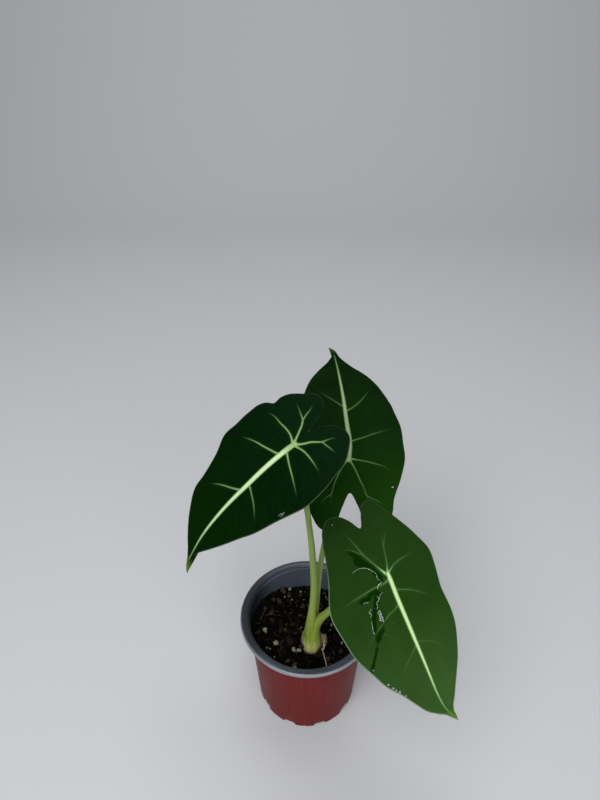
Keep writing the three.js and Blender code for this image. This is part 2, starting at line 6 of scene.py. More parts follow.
import bpy
import numpy as np
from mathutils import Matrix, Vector


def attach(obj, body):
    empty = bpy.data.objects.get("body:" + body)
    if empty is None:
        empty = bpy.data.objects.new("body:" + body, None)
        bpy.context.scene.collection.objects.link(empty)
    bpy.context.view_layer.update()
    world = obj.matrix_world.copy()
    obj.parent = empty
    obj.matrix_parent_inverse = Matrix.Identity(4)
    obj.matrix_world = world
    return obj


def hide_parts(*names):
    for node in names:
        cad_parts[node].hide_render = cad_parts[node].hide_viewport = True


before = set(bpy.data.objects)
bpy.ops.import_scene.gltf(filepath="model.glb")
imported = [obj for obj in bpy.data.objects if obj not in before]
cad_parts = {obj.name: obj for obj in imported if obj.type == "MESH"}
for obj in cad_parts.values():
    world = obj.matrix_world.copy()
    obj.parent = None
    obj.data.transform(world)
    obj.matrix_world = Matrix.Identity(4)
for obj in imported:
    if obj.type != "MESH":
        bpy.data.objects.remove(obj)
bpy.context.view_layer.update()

# Nursery pot
# A thin cup formed from polypropylene sheet that is brick red on one face and blue-black on the other.
# It has a flat lip, two stacking rings, and a foot that is raised in ten places to let water out.

MM = 0.001
POT_HEIGHT = 91
SHOULDER_RADIUS = 44.2
FOOT_RADIUS = 38.4
POT_WALL = 0.8
FOOT_CORNER = 1.4
FLOOR_THICKNESS = 3.2
STACKING_RING_HEIGHTS = [79, 83]
STACKING_RING_RELIEF = 0.5
CHANNELS = 10
CHANNEL_DEPTH = 2
CHANNEL_RECESS = 0.7
CHANNEL_REACH_Z = 12
CHANNEL_START = 13
CHANNEL_TURN = np.radians(-39)
CHANNEL_HALF_TURN = np.radians(6.5)
NICK_DEPTH = 0.9
NICK_HALF_TURN = np.radians(1.6)
DRAIN_HOLE_RADIUS = 2.7
DRAIN_HOLE_CIRCLE = 33
POT_COLUMNS = 320
# The mix has sunk behind the stem: by up to MIX_SINK, as Y and X rise through these two ranges.
MIX_SINK = 6.8
SINK_Y = [-12, 40]
SINK_X = [-36, -6]


def closed_mesh(name, rings, finishes=None):
    """An object made of closed forms, each a stack of rings whose neighbours are joined by quads.

    rings has the shape (forms, rows, columns, 3) or (rows, columns, 3), in millimetres. A fan of triangles
    closes the first and the last row at their middles. finishes gives the number of the material for each
    band between two rows. Forms that come out inside out are turned.
    """
    rings = np.asarray(rings, float)
    rings = rings.reshape(-1, *rings.shape[-3:])
    forms, rows, columns, _ = rings.shape
    ends = rings[:, [0, -1]].mean(axis=2)
    vertices = np.concatenate([rings.reshape(forms, -1, 3), ends], axis=1)
    around = np.arange(columns)
    after = np.roll(around, -1)
    low = np.arange(rows - 1)[:, None] * columns
    high = low + columns
    quads = np.stack([low + around, low + after, high + after, high + around], -1).reshape(-1, 4)
    foot = np.full(columns, rows * columns)
    top = (rows - 1) * columns
    first = np.stack([foot, after, around], -1)
    last = np.stack([foot + 1, top + around, top + after], -1)
    corners = np.concatenate([quads[:, [0, 1, 2]], quads[:, [0, 2, 3]], first, last])
    a, b, c = (vertices[0][corners[:, k]] for k in range(3))
    if np.einsum("ij,ij->", a, np.cross(b, c)) < 0:
        quads, first, last = quads[:, ::-1], first[:, ::-1], last[:, ::-1]
    shift = np.arange(forms)[:, None, None] * (rows * columns + 2)
    faces = [(kind + shift).reshape(-1, kind.shape[-1]).tolist() for kind in (quads, first, last)]
    mesh = bpy.data.meshes.new(name)
    mesh.from_pydata((vertices.reshape(-1, 3) * MM).tolist(), [], faces[0] + faces[1] + faces[2])
    if finishes is not None:
        bands = np.tile(np.repeat(finishes, columns), forms)
        caps = np.repeat([finishes[0], finishes[-1]], forms * columns)
        mesh.polygons.foreach_set("material_index", np.concatenate([bands, caps]).astype(np.int32))
    mesh.shade_smooth()
    mesh.update()
    piece = bpy.data.objects.new(name, mesh)
    bpy.context.scene.collection.objects.link(piece)
    return piece


def smoothstep(low, high, value):
    """0 below low, 1 above high, and an S-shaped rise between them."""
    share = np.clip((value - low) / (high - low), 0, 1)
    return share * share * (3 - 2 * share)


def stepped(points, step):
    """Points about step apart on the straight lines through the given ones, which are all kept."""
    points = np.asarray(points, float)
    pieces = []
    for a, b in zip(points[:-1], points[1:]):
        count = max(1, int(np.ceil(np.linalg.norm(b - a) / step)))
        pieces.append(a + (b - a) * (np.arange(count) / count)[:, None])
    return np.concatenate([*pieces, points[-1:]])


def full_turn(count):
    """count angles, spread evenly over a full turn."""
    return 2 * np.pi * np.arange(count) / count


def circles(radius, turn, z):
    """Places at a radius from the Z axis and a height, for each angle in turn."""
    return np.stack([radius * np.cos(turn), radius * np.sin(turn), z + 0 * turn], -1)


def wall_radius(z, relief=STACKING_RING_RELIEF):
    """The wall's outer radius: a straight taper with a rounded ridge at each stacking ring."""
    ridges = sum(np.exp(-(((z - height) / 0.6) ** 2)) for height in STACKING_RING_HEIGHTS)
    return FOOT_RADIUS + (SHOULDER_RADIUS - FOOT_RADIUS) * z / POT_HEIGHT + relief * ridges


def pot_rings(profile, is_outside):
    """The profile turned about Z, with wedge-shaped channels pressed up into the outside of the foot.

    A channel raises the surface by a share of its depth that falls as the square of the height, and
    it also draws the wall in a little. Between two channels is a small nick in the foot's edge.
    """
    turn = full_turn(POT_COLUMNS)
    pitch = 2 * np.pi / CHANNELS
    aside = np.abs((turn - CHANNEL_TURN + pitch / 2) % pitch - pitch / 2)
    radius, z = profile[:, :1], profile[:, 1:]
    within = smoothstep(-0.7, 0.7, (CHANNEL_HALF_TURN - aside) * radius)
    within = within * smoothstep(CHANNEL_START - 1, CHANNEL_START + 1, radius) * is_outside[:, None]
    fall = np.clip(1 - z / CHANNEL_REACH_Z, 0, 1) ** 2
    nick = smoothstep(NICK_HALF_TURN, 0, pitch / 2 - aside) * smoothstep(33, 37, radius)
    z = z + (CHANNEL_DEPTH * within + NICK_DEPTH * nick * is_outside[:, None]) * fall
    radius = radius - CHANNEL_RECESS * within * fall * smoothstep(30, 37, radius)
    return circles(radius, turn, z)


corner = np.linspace(-np.pi / 2, 0, 6)
foot_edge = FOOT_RADIUS - FOOT_CORNER
under_foot = stepped([[0.6, 0], [11.4, 0], [14.4, 0], [foot_edge, 0]], 1.6)
foot_corner = np.stack([foot_edge + FOOT_CORNER * np.cos(corner), FOOT_CORNER * (1 + np.sin(corner))], -1)
wall_z = np.concatenate([np.arange(2, 13, 0.9), np.arange(14, 76, 4), np.arange(76.6, 88.6, 0.4)])
wall = np.stack([wall_radius(wall_z), wall_z], -1)
under_lip = stepped([[44.3, 89], [44.8, 89.6], [45.6, 89.9], [48.4, 89.8], [49, 89.4], [49.1, 88.8]], 0.9)
skirt = np.array([[49.2, 88.45], [49.5, 88.3], [49.8, 88.35], [49.97, 88.6]])
lip = stepped([
    [50, 88.9], [49.95, 89.5], [49.75, 90.05], [49.4, 90.5], [48.9, 90.82], [48.2, 91], [47.4, 90.95],
    [45.6, 90.5], [44.8, 90.2], [44.2, 89.7], [43.8, 88.9], [43.5, 87.8],
], 0.5)
inner_z = wall_z[::-1]
inner_z = inner_z[inner_z > FLOOR_THICKNESS + FOOT_CORNER]
inner_wall = np.stack([wall_radius(inner_z, 0.08) - POT_WALL, inner_z], -1)
inner_edge = wall_radius(FLOOR_THICKNESS) - POT_WALL
inner_floor = stepped([
    [inner_edge, FLOOR_THICKNESS + FOOT_CORNER], [inner_edge - 0.3, FLOOR_THICKNESS + 0.5],
    [inner_edge - FOOT_CORNER, FLOOR_THICKNESS], [0.6, FLOOR_THICKNESS],
], 4)
outside = np.concatenate([under_foot, foot_corner, wall, under_lip, skirt])
inside = np.concatenate([lip, inner_wall, inner_floor])
profile = np.concatenate([outside, inside])
is_outside = np.arange(len(profile)) < len(outside)
finishes = np.where(is_outside[1:] & (np.arange(1, len(profile)) < len(outside) - 2), 0, 1)
pot = closed_mesh("pot_shell", pot_rings(profile, is_outside), finishes)


def linear(hex_colour):
    """An sRGB hex colour as linear red, green, blue and alpha."""
    share = np.array([int(hex_colour[i:i + 2], 16) for i in (1, 3, 5)]) / 255
    values = np.where(share <= 0.04045, share / 12.92, ((share + 0.055) / 1.055) ** 2.4)
    return (*values.tolist(), 1)


def wire(material, node, values):
    """Gives each named input of a node a plain value, a hex colour or the socket that feeds it."""
    for name, value in values.items():
        if isinstance(value, bpy.types.NodeSocket):
            material.node_tree.links.new(value, node.inputs[name])
        else:
            node.inputs[name].default_value = linear(value) if isinstance(value, str) else value
    return node


def add_node(material, kind, values=None, **settings):
    """Adds a node with its settings, and wires its inputs."""
    node = material.node_tree.nodes.new("ShaderNode" + kind)
    for name, value in settings.items():
        setattr(node, name, value)
    return wire(material, node, values or {})


def new_material(title):
    """A material with nodes, and its shader."""
    material = bpy.data.materials.new(title)
    material.use_nodes = True
    return material, material.node_tree.nodes["Principled BSDF"]


# Polypropylene, thermoformed over a male mould: faint draw marks run down the wall, and rubbing
# against other pots leaves pale scuffs. The sheet's red face is slightly waxy.
red_plastic, shader = new_material("thermoformed polypropylene, brick red")
place = add_node(red_plastic, "TexCoord").outputs["Object"]
draw_place = add_node(red_plastic, "Mapping", {"Vector": place, "Scale": (1, 1, 0.06)}).outputs[0]
draw_marks = add_node(red_plastic, "TexNoise", {"Vector": draw_place, "Scale": 1 / (2.2 * MM), "Detail": 3})
blotches = add_node(red_plastic, "TexNoise", {"Vector": place, "Scale": 1 / (26 * MM), "Detail": 4})
scuff_place = add_node(red_plastic, "Mapping", {
    "Vector": place, "Scale": (1, 1, 0.45), "Rotation": (0.4, 0.2, 0),
}).outputs[0]
scuff_noise = add_node(red_plastic, "TexNoise", {
    "Vector": scuff_place, "Scale": 1 / (5 * MM), "Detail": 5, "Roughness": 0.75,
})
scuffs = add_node(red_plastic, "MapRange", {
    "Value": scuff_noise.outputs[0], "From Min": 0.66, "From Max": 0.74, "To Max": 0.5,
})
colour = "#4b1413"
for share, layer in ((draw_marks, "#762624"), (blotches, "#5b1c1c"), (scuffs, "#a57a74")):
    colour = add_node(red_plastic, "MixRGB", {
        "Fac": share.outputs[0], "Color1": colour, "Color2": layer,
    }).outputs[0]
gloss = add_node(red_plastic, "MapRange", {
    "Value": blotches.outputs[0], "To Min": 0.3, "To Max": 0.46,
}).outputs[0]
peel = add_node(red_plastic, "TexNoise", {"Vector": place, "Scale": 1 / (0.8 * MM), "Detail": 2})
fine_bump = add_node(red_plastic, "Bump", {
    "Height": peel.outputs[0], "Strength": 0.25, "Distance": 0.12 * MM,
})
draw_bump = add_node(red_plastic, "Bump", {
    "Height": draw_marks.outputs[0], "Strength": 0.5, "Distance": 0.25 * MM,
    "Normal": fine_bump.outputs[0],
})
wire(red_plastic, shader, {
    "Base Color": colour, "Roughness": gloss, "IOR": 1.49, "Specular IOR Level": 0.04,
    "Normal": draw_bump.outputs[0],
})

# The same sheet's inner face: blue-black with a soft shine, and with fine rings from the mould. The rings
# are painted as pale lines that fade down the wall, a painted highlight on their ridges. Its lip is painted
# darker, as painted shade, and its outer edge is painted pale, most in front, as a painted highlight on the
# roll. The wall is painted darker on the left and just over the mix, as painted shade, and crumbs stick to
# it just over the mix.
dark_plastic, shader = new_material("thermoformed polypropylene, blue-black")
place = add_node(dark_plastic, "TexCoord").outputs["Object"]
axes = add_node(dark_plastic, "SeparateXYZ", {"Vector": place}).outputs
ring_place = add_node(dark_plastic, "Mapping", {"Vector": place, "Scale": (0.02, 0.02, 1)}).outputs[0]
mould_rings = add_node(dark_plastic, "TexNoise", {"Vector": ring_place, "Scale": 1 / (1.1 * MM), "Detail": 2})
blotches = add_node(dark_plastic, "TexNoise", {"Vector": place, "Scale": 1 / (15 * MM), "Detail": 5})
crumb_noise = add_node(dark_plastic, "TexNoise", {"Vector": place, "Scale": 1 / (1.6 * MM), "Detail": 4})
across = add_node(dark_plastic, "Mapping", {"Vector": place, "Scale": (1, 1, 0)}).outputs[0]
from_axis = add_node(dark_plastic, "VectorMath", {0: across}, operation="LENGTH").outputs["Value"]
shares = {}
for share, value, low, high, at_low, at_high, rise in (
    ("ring", mould_rings.outputs[0], 0.5, 0.7, 0, 0.7, "LINEAR"),
    # The pale mould rings are a painted highlight, strongest near the top of the wall.
    ("near_top", axes["Z"], 79 * MM, 86 * MM, 0.1, 1, "LINEAR"),
    ("sunk_behind", axes["Y"], SINK_Y[0] * MM, SINK_Y[1] * MM, 0, MIX_SINK * MM, "SMOOTHSTEP"),
    ("off_left", axes["X"], SINK_X[0] * MM, SINK_X[1] * MM, 0, 1, "SMOOTHSTEP"),
    # A painted highlight on the lip's outer roll, strongest in front.
    ("edge_highlight_band", from_axis, 48.4 * MM, 49.7 * MM, 0, 1, "SMOOTHSTEP"),
    ("edge_highlight_front", axes["Y"], -42 * MM, 10 * MM, 0.8, 0.15, "LINEAR"),
    # Painted shade on the left of the inner wall.
    ("painted_shade_left", axes["X"], -26 * MM, -41 * MM, 0, 0.85, "SMOOTHSTEP"),
    # Painted shade on the lip's top.
    ("lip", axes["Z"], 88.4 * MM, 89.4 * MM, 0, 0.7, "LINEAR"),
):
    shares[share] = add_node(dark_plastic, "MapRange", {
        "Value": value, "From Min": low, "From Max": high, "To Min": at_low, "To Max": at_high,
    }, interpolation_type=rise).outputs[0]
for product, first, second in (
    ("painted_ring_highlight", "ring", "near_top"), ("sunk", "sunk_behind", "off_left"), ("painted_edge_highlight", "edge_highlight_band", "edge_highlight_front"),
):
    shares[product] = add_node(dark_plastic, "Math", {
        0: shares[first], 1: shares[second],
    }, operation="MULTIPLY").outputs[0]
from_mix = add_node(dark_plastic, "Math", {0: axes["Z"], 1: shares["sunk"]}, operation="ADD").outputs[0]
near_mix = add_node(dark_plastic, "MapRange", {
    "Value": from_mix, "From Min": 74 * MM, "From Max": 81 * MM, "To Min": 0.17, "To Max": -0.4,
}).outputs[0]
# Painted shade on the wall just over the mix.
painted_shade_near_mix = add_node(dark_plastic, "MapRange", {
    "Value": from_mix, "From Min": 71 * MM, "From Max": 76.5 * MM, "To Min": 0.8, "To Max": 0,
}, interpolation_type="SMOOTHSTEP").outputs[0]
stuck = add_node(dark_plastic, "Math", {0: crumb_noise.outputs[0], 1: near_mix}, operation="ADD").outputs[0]
crumbled = add_node(dark_plastic, "MapRange", {
    "Value": stuck, "From Min": 0.6, "From Max": 0.66,
}).outputs[0]
colour = "#3c434d"
for share, layer in (
    (blotches.outputs[0], "#4c5460"), (shares["painted_ring_highlight"], "#5f6976"), (shares["painted_shade_left"], "#0d0f12"),
    (shares["lip"], "#1d2126"), (shares["painted_edge_highlight"], "#7b8288"), (painted_shade_near_mix, "#0d0f12"), (crumbled, "#0d0a07"),
):
    colour = add_node(dark_plastic, "MixRGB", {
        "Fac": share, "Color1": colour, "Color2": layer,
    }).outputs[0]
ring_bump = add_node(dark_plastic, "Bump", {
    "Height": mould_rings.outputs[0], "Strength": 0.35, "Distance": 0.3 * MM,
})
wire(dark_plastic, shader, {
    "Base Color": colour, "Roughness": 0.3, "IOR": 1.49, "Specular IOR Level": 0.45,
    "Normal": ring_bump.outputs[0],
})

pot.data.materials.append(red_plastic)
pot.data.materials.append(dark_plastic)

hole_turn = full_turn(16)
hole_z = np.array([-3, 8])[:, None]
hole_circle = circles(DRAIN_HOLE_RADIUS + 0 * hole_z, hole_turn, hole_z) + [DRAIN_HOLE_CIRCLE, 0, 0]
hole_turns = CHANNEL_TURN + full_turn(CHANNELS)
cosines, sines = np.cos(hole_turns)[:, None, None], np.sin(hole_turns)[:, None, None]
drain_holes = closed_mesh("drain_holes", np.stack([
    cosines * hole_circle[..., 0] - sines * hole_circle[..., 1],
    sines * hole_circle[..., 0] + cosines * hole_circle[..., 1],
    hole_circle[..., 2] + 0 * cosines,
], -1))
cut = pot.modifiers.new("drain holes", "BOOLEAN")
cut.operation = "DIFFERENCE"
cut.solver = "MANIFOLD"
cut.object = drain_holes
pierced = bpy.data.meshes.new_from_object(pot.evaluated_get(bpy.context.evaluated_depsgraph_get()))
pot.modifiers.clear()
pot.data = pierced
bpy.data.objects.remove(drain_holes)
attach(pot, "root")
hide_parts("pot")

# Potting mix
# Near-black peat mixed with clods, bark and perlite, filled to 16 mm under the lip and lightly settled.
# The stem base stands in a hollow in it, and the pot's wall holds its side.

STEM = np.array([3.6, -17])
SOIL_LEVEL = 74.8
SOIL_FOOT_Z = 3.6
SOIL_SIDE_FOOT_Z = 5.4
WALL_GAP = 0.45
SOIL_COLUMNS = 300
HOLLOW_RADIUS = 9.4
CRUMBS = 1500
CLODS_LISTED = [
    [-13, -14, 4.2, 0.66], [-16.6, -11.6, 2.6, 0.6], [-5.4, 11, 2.4, 0.95], [-22, 24, 2.6, 0.8],
    [-14, 31, 2.8, 0.75], [-27, 14, 2.2, 0.7], [-30, -12, 2.4, 0.6], [8, 34, 2.6, 0.7],
]
LODGED = 26
LODGED_REACH = 8.9
LODGED_Z = 74.9
SCATTER_REACH = 42.2
CRUMB_ROWS = 4
CRUMB_COLUMNS = 7
PERLITE_LISTED = [
    [-32, -3.7, 1.5], [-31.2, -5.4, 1.2], [-23.2, -15.4, 1.9], [-9.8, -20.3, 1.8], [-6.2, -21.6, 1.9],
    [-1.4, 34, 1.8], [-4.8, 35.6, 1.4], [-27.5, -20.3, 1.1], [-13.7, 37.4, 1.4], [-3, -31, 0.9],
]
PERLITE_MORE = 22
FIBRES = 34
FIBRE_SPREAD = 36
FIBRE_REACH = 41
FIBRE_STEM_CLEARANCE = 11


def soil_height(x, y):
    """The settled top of the mix: its level, a slow swell and low lumps, less a sink behind the stem."""
    swell = 0.9 * np.sin(x / 9 + 0.6) * np.cos(y / 11 - 0.4)
    lumps = 0.5 * np.sin(x / 3.7 + y / 5.1) + 0.4 * np.cos(y / 3.3 - x / 6.2 + 1)
    sink = MIX_SINK * smoothstep(*SINK_Y, y) * smoothstep(*SINK_X, x)
    return SOIL_LEVEL + swell + lumps - sink


def unevenness(points, size, seed):
    """Smooth unevenness of about -1 to 1: the sum of 20 sine waves, about size long, that run all ways."""
    random = np.random.default_rng(seed)
    ways = random.normal(size=(20, 3))
    ways *= 2 * np.pi / size * random.uniform(0.6, 1.7, (20, 1)) / np.linalg.norm(ways, axis=1, keepdims=True)
    return np.sin(points @ ways.T + random.uniform(0, 2 * np.pi, 20)).sum(axis=-1) / 5


def paint(piece, name, values):
    """Keeps one number for each vertex, from values that have the rings' shape without the last axis."""
    rows, columns = values.shape[-2:]
    values = values.reshape(-1, rows, columns)
    ends = values[:, [0, -1]].mean(axis=2)
    attribute = piece.data.attributes.new(name, "FLOAT", "POINT")
    flat = np.concatenate([values.reshape(len(values), -1), ends], axis=1).ravel()
    attribute.data.foreach_set("value", flat.astype(np.float32))


def towards_wall(turn, z):
    """Where a level line from the stem, in the direction turn, meets the mix's side at height z."""
    reach = wall_radius(z) - POT_WALL - WALL_GAP
    along = STEM[0] * np.cos(turn) + STEM[1] * np.sin(turn)
    distance = np.sqrt(along ** 2 + reach ** 2 - STEM @ STEM) - along
    return STEM[0] + distance * np.cos(turn), STEM[1] + distance * np.sin(turn)


def soil_rings():
    """The hollow, the top, the side and the bottom of the mix as one stack of rings about the stem."""
    turn = full_turn(SOIL_COLUMNS)
    hollow = np.array([[0.6, 45.2], [4, 45.6], [7.6, 52.5], [9.2, 63], [HOLLOW_RADIUS, 72.5]])
    hollow_rings = circles(hollow[:, :1], turn, hollow[:, 1:]) + [*STEM, 0]
    far_x, far_y = towards_wall(turn, SOIL_LEVEL)
    share = np.linspace(0, 1, 84)[:, None]
    x = (1 - share) * (STEM[0] + HOLLOW_RADIUS * np.cos(turn)) + share * far_x
    y = (1 - share) * (STEM[1] + HOLLOW_RADIUS * np.sin(turn)) + share * far_y
    flat = np.stack([x, y, 0 * x], -1)
    rough = 0.55 * unevenness(flat, 7, 1) + 0.4 * unevenness(flat, 3, 2) + 0.2 * unevenness(flat, 1.3, 3)
    top = np.stack([x, y, soil_height(x, y) + rough * smoothstep(0, 0.04, share)], -1)
    side_z = top[-1, :, 2] + (SOIL_SIDE_FOOT_Z - top[-1, :, 2]) * np.linspace(0.01, 1, 20)[:, None]
    side_x, side_y = towards_wall(turn, side_z)
    side = np.stack([side_x, side_y, side_z], -1)
    inward = np.array([0.97, 0.7, 0.4, 0.05])[:, None]
    low_x, low_y = towards_wall(turn, SOIL_FOOT_Z)
    bottom = np.stack([low_x * inward, low_y * inward, SOIL_FOOT_Z + 0 * low_x * inward], -1)
    return np.concatenate([hollow_rings, top, side, bottom])


soil = closed_mesh("potting_mix", soil_rings())

# Moist peat: almost black, matt, with crumbs a millimetre across and browner clods here and there.
peat, shader = new_material("moist peat")
place = add_node(peat, "TexCoord").outputs["Object"]
clods = add_node(peat, "TexNoise", {"Vector": place, "Scale": 1 / (7 * MM), "Detail": 4})
grit = add_node(peat, "TexNoise", {"Vector": place, "Scale": 1 / (0.9 * MM), "Detail": 5, "Roughness": 0.7})
mixed = add_node(peat, "MixRGB", {
    "Fac": add_node(peat, "MapRange", {
        "Value": clods.outputs[0], "From Min": 0.45, "From Max": 0.68,
    }).outputs[0],
    "Color1": "#030302", "Color2": "#090705",
}).outputs[0]
gritty = add_node(peat, "MixRGB", {
    "Fac": add_node(peat, "MapRange", {
        "Value": grit.outputs[0], "From Min": 0.55, "From Max": 0.78, "To Max": 0.7,
    }).outputs[0],
    "Color1": mixed, "Color2": "#15110b",
}).outputs[0]
grit_bump = add_node(peat, "Bump", {"Height": grit.outputs[0], "Strength": 1, "Distance": 0.8 * MM})
wire(peat, shader, {
    "Base Color": gritty, "Roughness": 0.9, "Specular IOR Level": 0.02, "Normal": grit_bump.outputs[0],
})
soil.data.materials.append(peat)
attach(soil, "root")
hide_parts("soil")


def pebbles(places, sizes, rows, columns, seed, dent):
    """Rings of rough pebbles, one form each: spheres with dents, squashed and turned at random.

    places are their middles and sizes their mean radii. Each radius is scaled by 1 plus dent times a
    random number, and each axis by 0.65 to 1.2.
    """
    random = np.random.default_rng(seed)
    count = len(places)
    down = np.linspace(0.12, 0.88, rows)[:, None] * np.pi
    round_turn = full_turn(columns)
    ball = circles(np.sin(down), round_turn, np.cos(down))
    forms = ball * (1 + dent * random.uniform(-1, 1, (count, rows, columns, 1)))
    forms = forms * random.uniform(0.65, 1.2, (count, 1, 1, 3)) * np.reshape(sizes, (-1, 1, 1, 1))
    axes = np.linalg.qr(random.normal(size=(count, 3, 3)))[0]
    axes[:, :, 0] *= np.sign(np.linalg.det(axes))[:, None]
    return np.einsum("nij,nrcj->nrci", axes, forms) + np.reshape(places, (-1, 1, 1, 3))


def scatter(count, seed, largest, smallest):
    """Places on the mix and sizes for count bits of it, clear of the wall and of the stem base.

    The sizes are spread so that small ones are more common: the cube of a random number.
    """
    random = np.random.default_rng(seed)
    size = smallest + (largest - smallest) * random.uniform(0, 1, count) ** 3
    distance = (SCATTER_REACH - size) * np.sqrt(random.uniform(0, 1, count))
    turn = random.uniform(0, 2 * np.pi, count)
    x, y = distance * np.cos(turn), distance * np.sin(turn)
    places = np.stack([x, y, soil_height(x, y) + 0.2 * size], -1)
    clear = np.hypot(x - STEM[0], y - STEM[1]) > HOLLOW_RADIUS + 0.7 * size
    return places[clear], size[clear]


clods = np.array(CLODS_LISTED)
clod_heights = soil_height(clods[:, 0], clods[:, 1]) - 0.2 * clods[:, 2]
crumb_places, crumb_sizes = scatter(CRUMBS, 11, 2.6, 0.45)
lodged_turn = np.radians(np.linspace(185, 355, LODGED))
lodged_reach = LODGED_REACH + 0.4 * np.sin(5 * np.arange(LODGED))
lodged_z = LODGED_Z + 0.4 * np.cos(3 * np.arange(LODGED))
lodged_places = circles(lodged_reach, lodged_turn, lodged_z) + [*STEM, 0]
lodged_sizes = 1.1 + 0.4 * np.sin(7 * np.arange(LODGED))
crumb_places = np.concatenate([
    crumb_places, lodged_places, np.column_stack([clods[:, :2], clod_heights]),
])
crumb_sizes = np.concatenate([crumb_sizes, lodged_sizes, clods[:, 2]])
crumb_forms = pebbles(crumb_places, crumb_sizes, CRUMB_ROWS, CRUMB_COLUMNS, 12, 0.22)
crumbs = closed_mesh("peat_crumbs", crumb_forms)
crumb_tones = np.random.default_rng(13).uniform(0, 1, len(crumb_forms)) ** 3
drier = np.random.default_rng(14).uniform(0, 1, len(crumb_tones))
crumb_tones += 0.3 * smoothstep(0, 30, crumb_places[:, 1]) * drier
crumb_tones[-len(clods):] = clods[:, 3]
paint(crumbs, "tone", crumb_tones[:, None, None] + 0 * crumb_forms[..., 0])

# Crumbs of peat and bits of bark: most are as dark as the mix, and a few are brown or tan.
crumb_peat, shader = new_material("crumbled peat and bark")
place = add_node(crumb_peat, "TexCoord").outputs["Object"]
tone = add_node(crumb_peat, "Attribute", attribute_name="tone").outputs["Fac"]
grit = add_node(crumb_peat, "TexNoise", {"Vector": place, "Scale": 1 / (0.6 * MM), "Detail": 4})
toned = add_node(crumb_peat, "ValToRGB", {"Fac": tone})
ramp = toned.color_ramp
ramp.elements[0].color = linear("#040302")
ramp.elements[1].color = linear("#3a3024")
ramp.elements[1].position = 0.98
middle = ramp.elements.new(0.62)
middle.color = linear("#0f0c08")
speckled = add_node(crumb_peat, "MixRGB", {
    "Fac": add_node(crumb_peat, "MapRange", {
        "Value": grit.outputs[0], "From Min": 0.4, "From Max": 0.75, "To Max": 0.6,
    }).outputs[0],
    "Color1": toned.outputs[0], "Color2": "#0a0806",
}).outputs[0]
grit_bump = add_node(crumb_peat, "Bump", {"Height": grit.outputs[0], "Strength": 0.9, "Distance": 0.5 * MM})
wire(crumb_peat, shader, {
    "Base Color": speckled, "Roughness": 0.9, "Specular IOR Level": 0.03, "Normal": grit_bump.outputs[0],
})
crumbs.data.materials.append(crumb_peat)
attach(crumbs, "root")

seen_grains = np.array(PERLITE_LISTED)
more_places, more_sizes = scatter(PERLITE_MORE, 21, 1.7, 0.7)
grain_heights = soil_height(seen_grains[:, 0], seen_grains[:, 1]) + 0.6 * seen_grains[:, 2]
grain_places = np.concatenate([
    np.column_stack([seen_grains[:, :2], grain_heights]), more_places + [0, 0, 0.2],
])
grain_sizes = np.concatenate([seen_grains[:, 2], more_sizes])
grain_forms = pebbles(grain_places, grain_sizes, 7, 11, 22, 0.16)
grains = closed_mesh("perlite_grains", grain_forms)

# Perlite: puffed volcanic glass, off-white, stained green and brown by algae and peat.
perlite, shader = new_material("perlite, stained")
place = add_node(perlite, "TexCoord").outputs["Object"]
stains = add_node(perlite, "TexNoise", {"Vector": place, "Scale": 1 / (6 * MM), "Detail": 2})
pores = add_node(perlite, "TexNoise", {"Vector": place, "Scale": 1 / (0.5 * MM), "Detail": 4})
stained = add_node(perlite, "MixRGB", {
    "Fac": add_node(perlite, "MapRange", {
        "Value": stains.outputs[0], "From Min": 0.36, "From Max": 0.52,
    }).outputs[0],
    "Color1": "#67743a", "Color2": "#6c6e5e",
}).outputs[0]
pored = add_node(perlite, "MixRGB", {
    "Fac": add_node(perlite, "MapRange", {
        "Value": pores.outputs[0], "From Min": 0.46, "From Max": 0.7,
    }).outputs[0],
    "Color1": stained, "Color2": "#1f1c12",
}).outputs[0]
pore_bump = add_node(perlite, "Bump", {"Height": pores.outputs[0], "Strength": 1, "Distance": 0.4 * MM})
wire(perlite, shader, {
    "Base Color": pored, "Roughness": 0.8, "Specular IOR Level": 0.15, "Normal": pore_bump.outputs[0],
})
grains.data.materials.append(perlite)
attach(grains, "root")


def smooth_path(points, count):
    """count points along a smooth curve through the given ones, at even steps of their chord length.

    Between two neighbours the curve is a cubic whose end slopes are the slopes of the points there.
    """
    points = np.asarray(points, float)
    chord = np.concatenate([[0], np.cumsum(np.linalg.norm(np.diff(points, axis=0), axis=1))])
    slopes = np.gradient(points, chord, axis=0)
    along = np.linspace(0, chord[-1], count)
    i = np.clip(np.searchsorted(chord, along, side="right") - 1, 0, len(points) - 2)
    span = (chord[i + 1] - chord[i])[:, None]
    s = (along - chord[i])[:, None] / span
    start = (1 + 2 * s) * (1 - s) ** 2 * points[i] + s * (1 - s) ** 2 * span * slopes[i]
    end = s ** 2 * (3 - 2 * s) * points[i + 1] + s ** 2 * (s - 1) * span * slopes[i + 1]
    return start + end


def tube_rings(path, radius, columns, aside=(0, 0, 1)):
    """Rings of a round strand along paths of the shape (..., rows, 3), square to them.

    radius is one number or one for each row. aside is a direction that no path runs along: it sets
    where each ring starts, so that the strand doesn't twist.
    """
    path = np.asarray(path, float)
    ahead = np.gradient(path, axis=-2)
    ahead /= np.linalg.norm(ahead, axis=-1, keepdims=True)
    across = np.cross(ahead, np.asarray(aside, float))
    across /= np.linalg.norm(across, axis=-1, keepdims=True)
    over = np.cross(across, ahead)
    turn = full_turn(columns)[:, None]
    radius = np.asarray(radius, float)[..., None, None]
    ring = np.cos(turn) * across[..., None, :] + np.sin(turn) * over[..., None, :]
    return path[..., None, :] + radius * ring


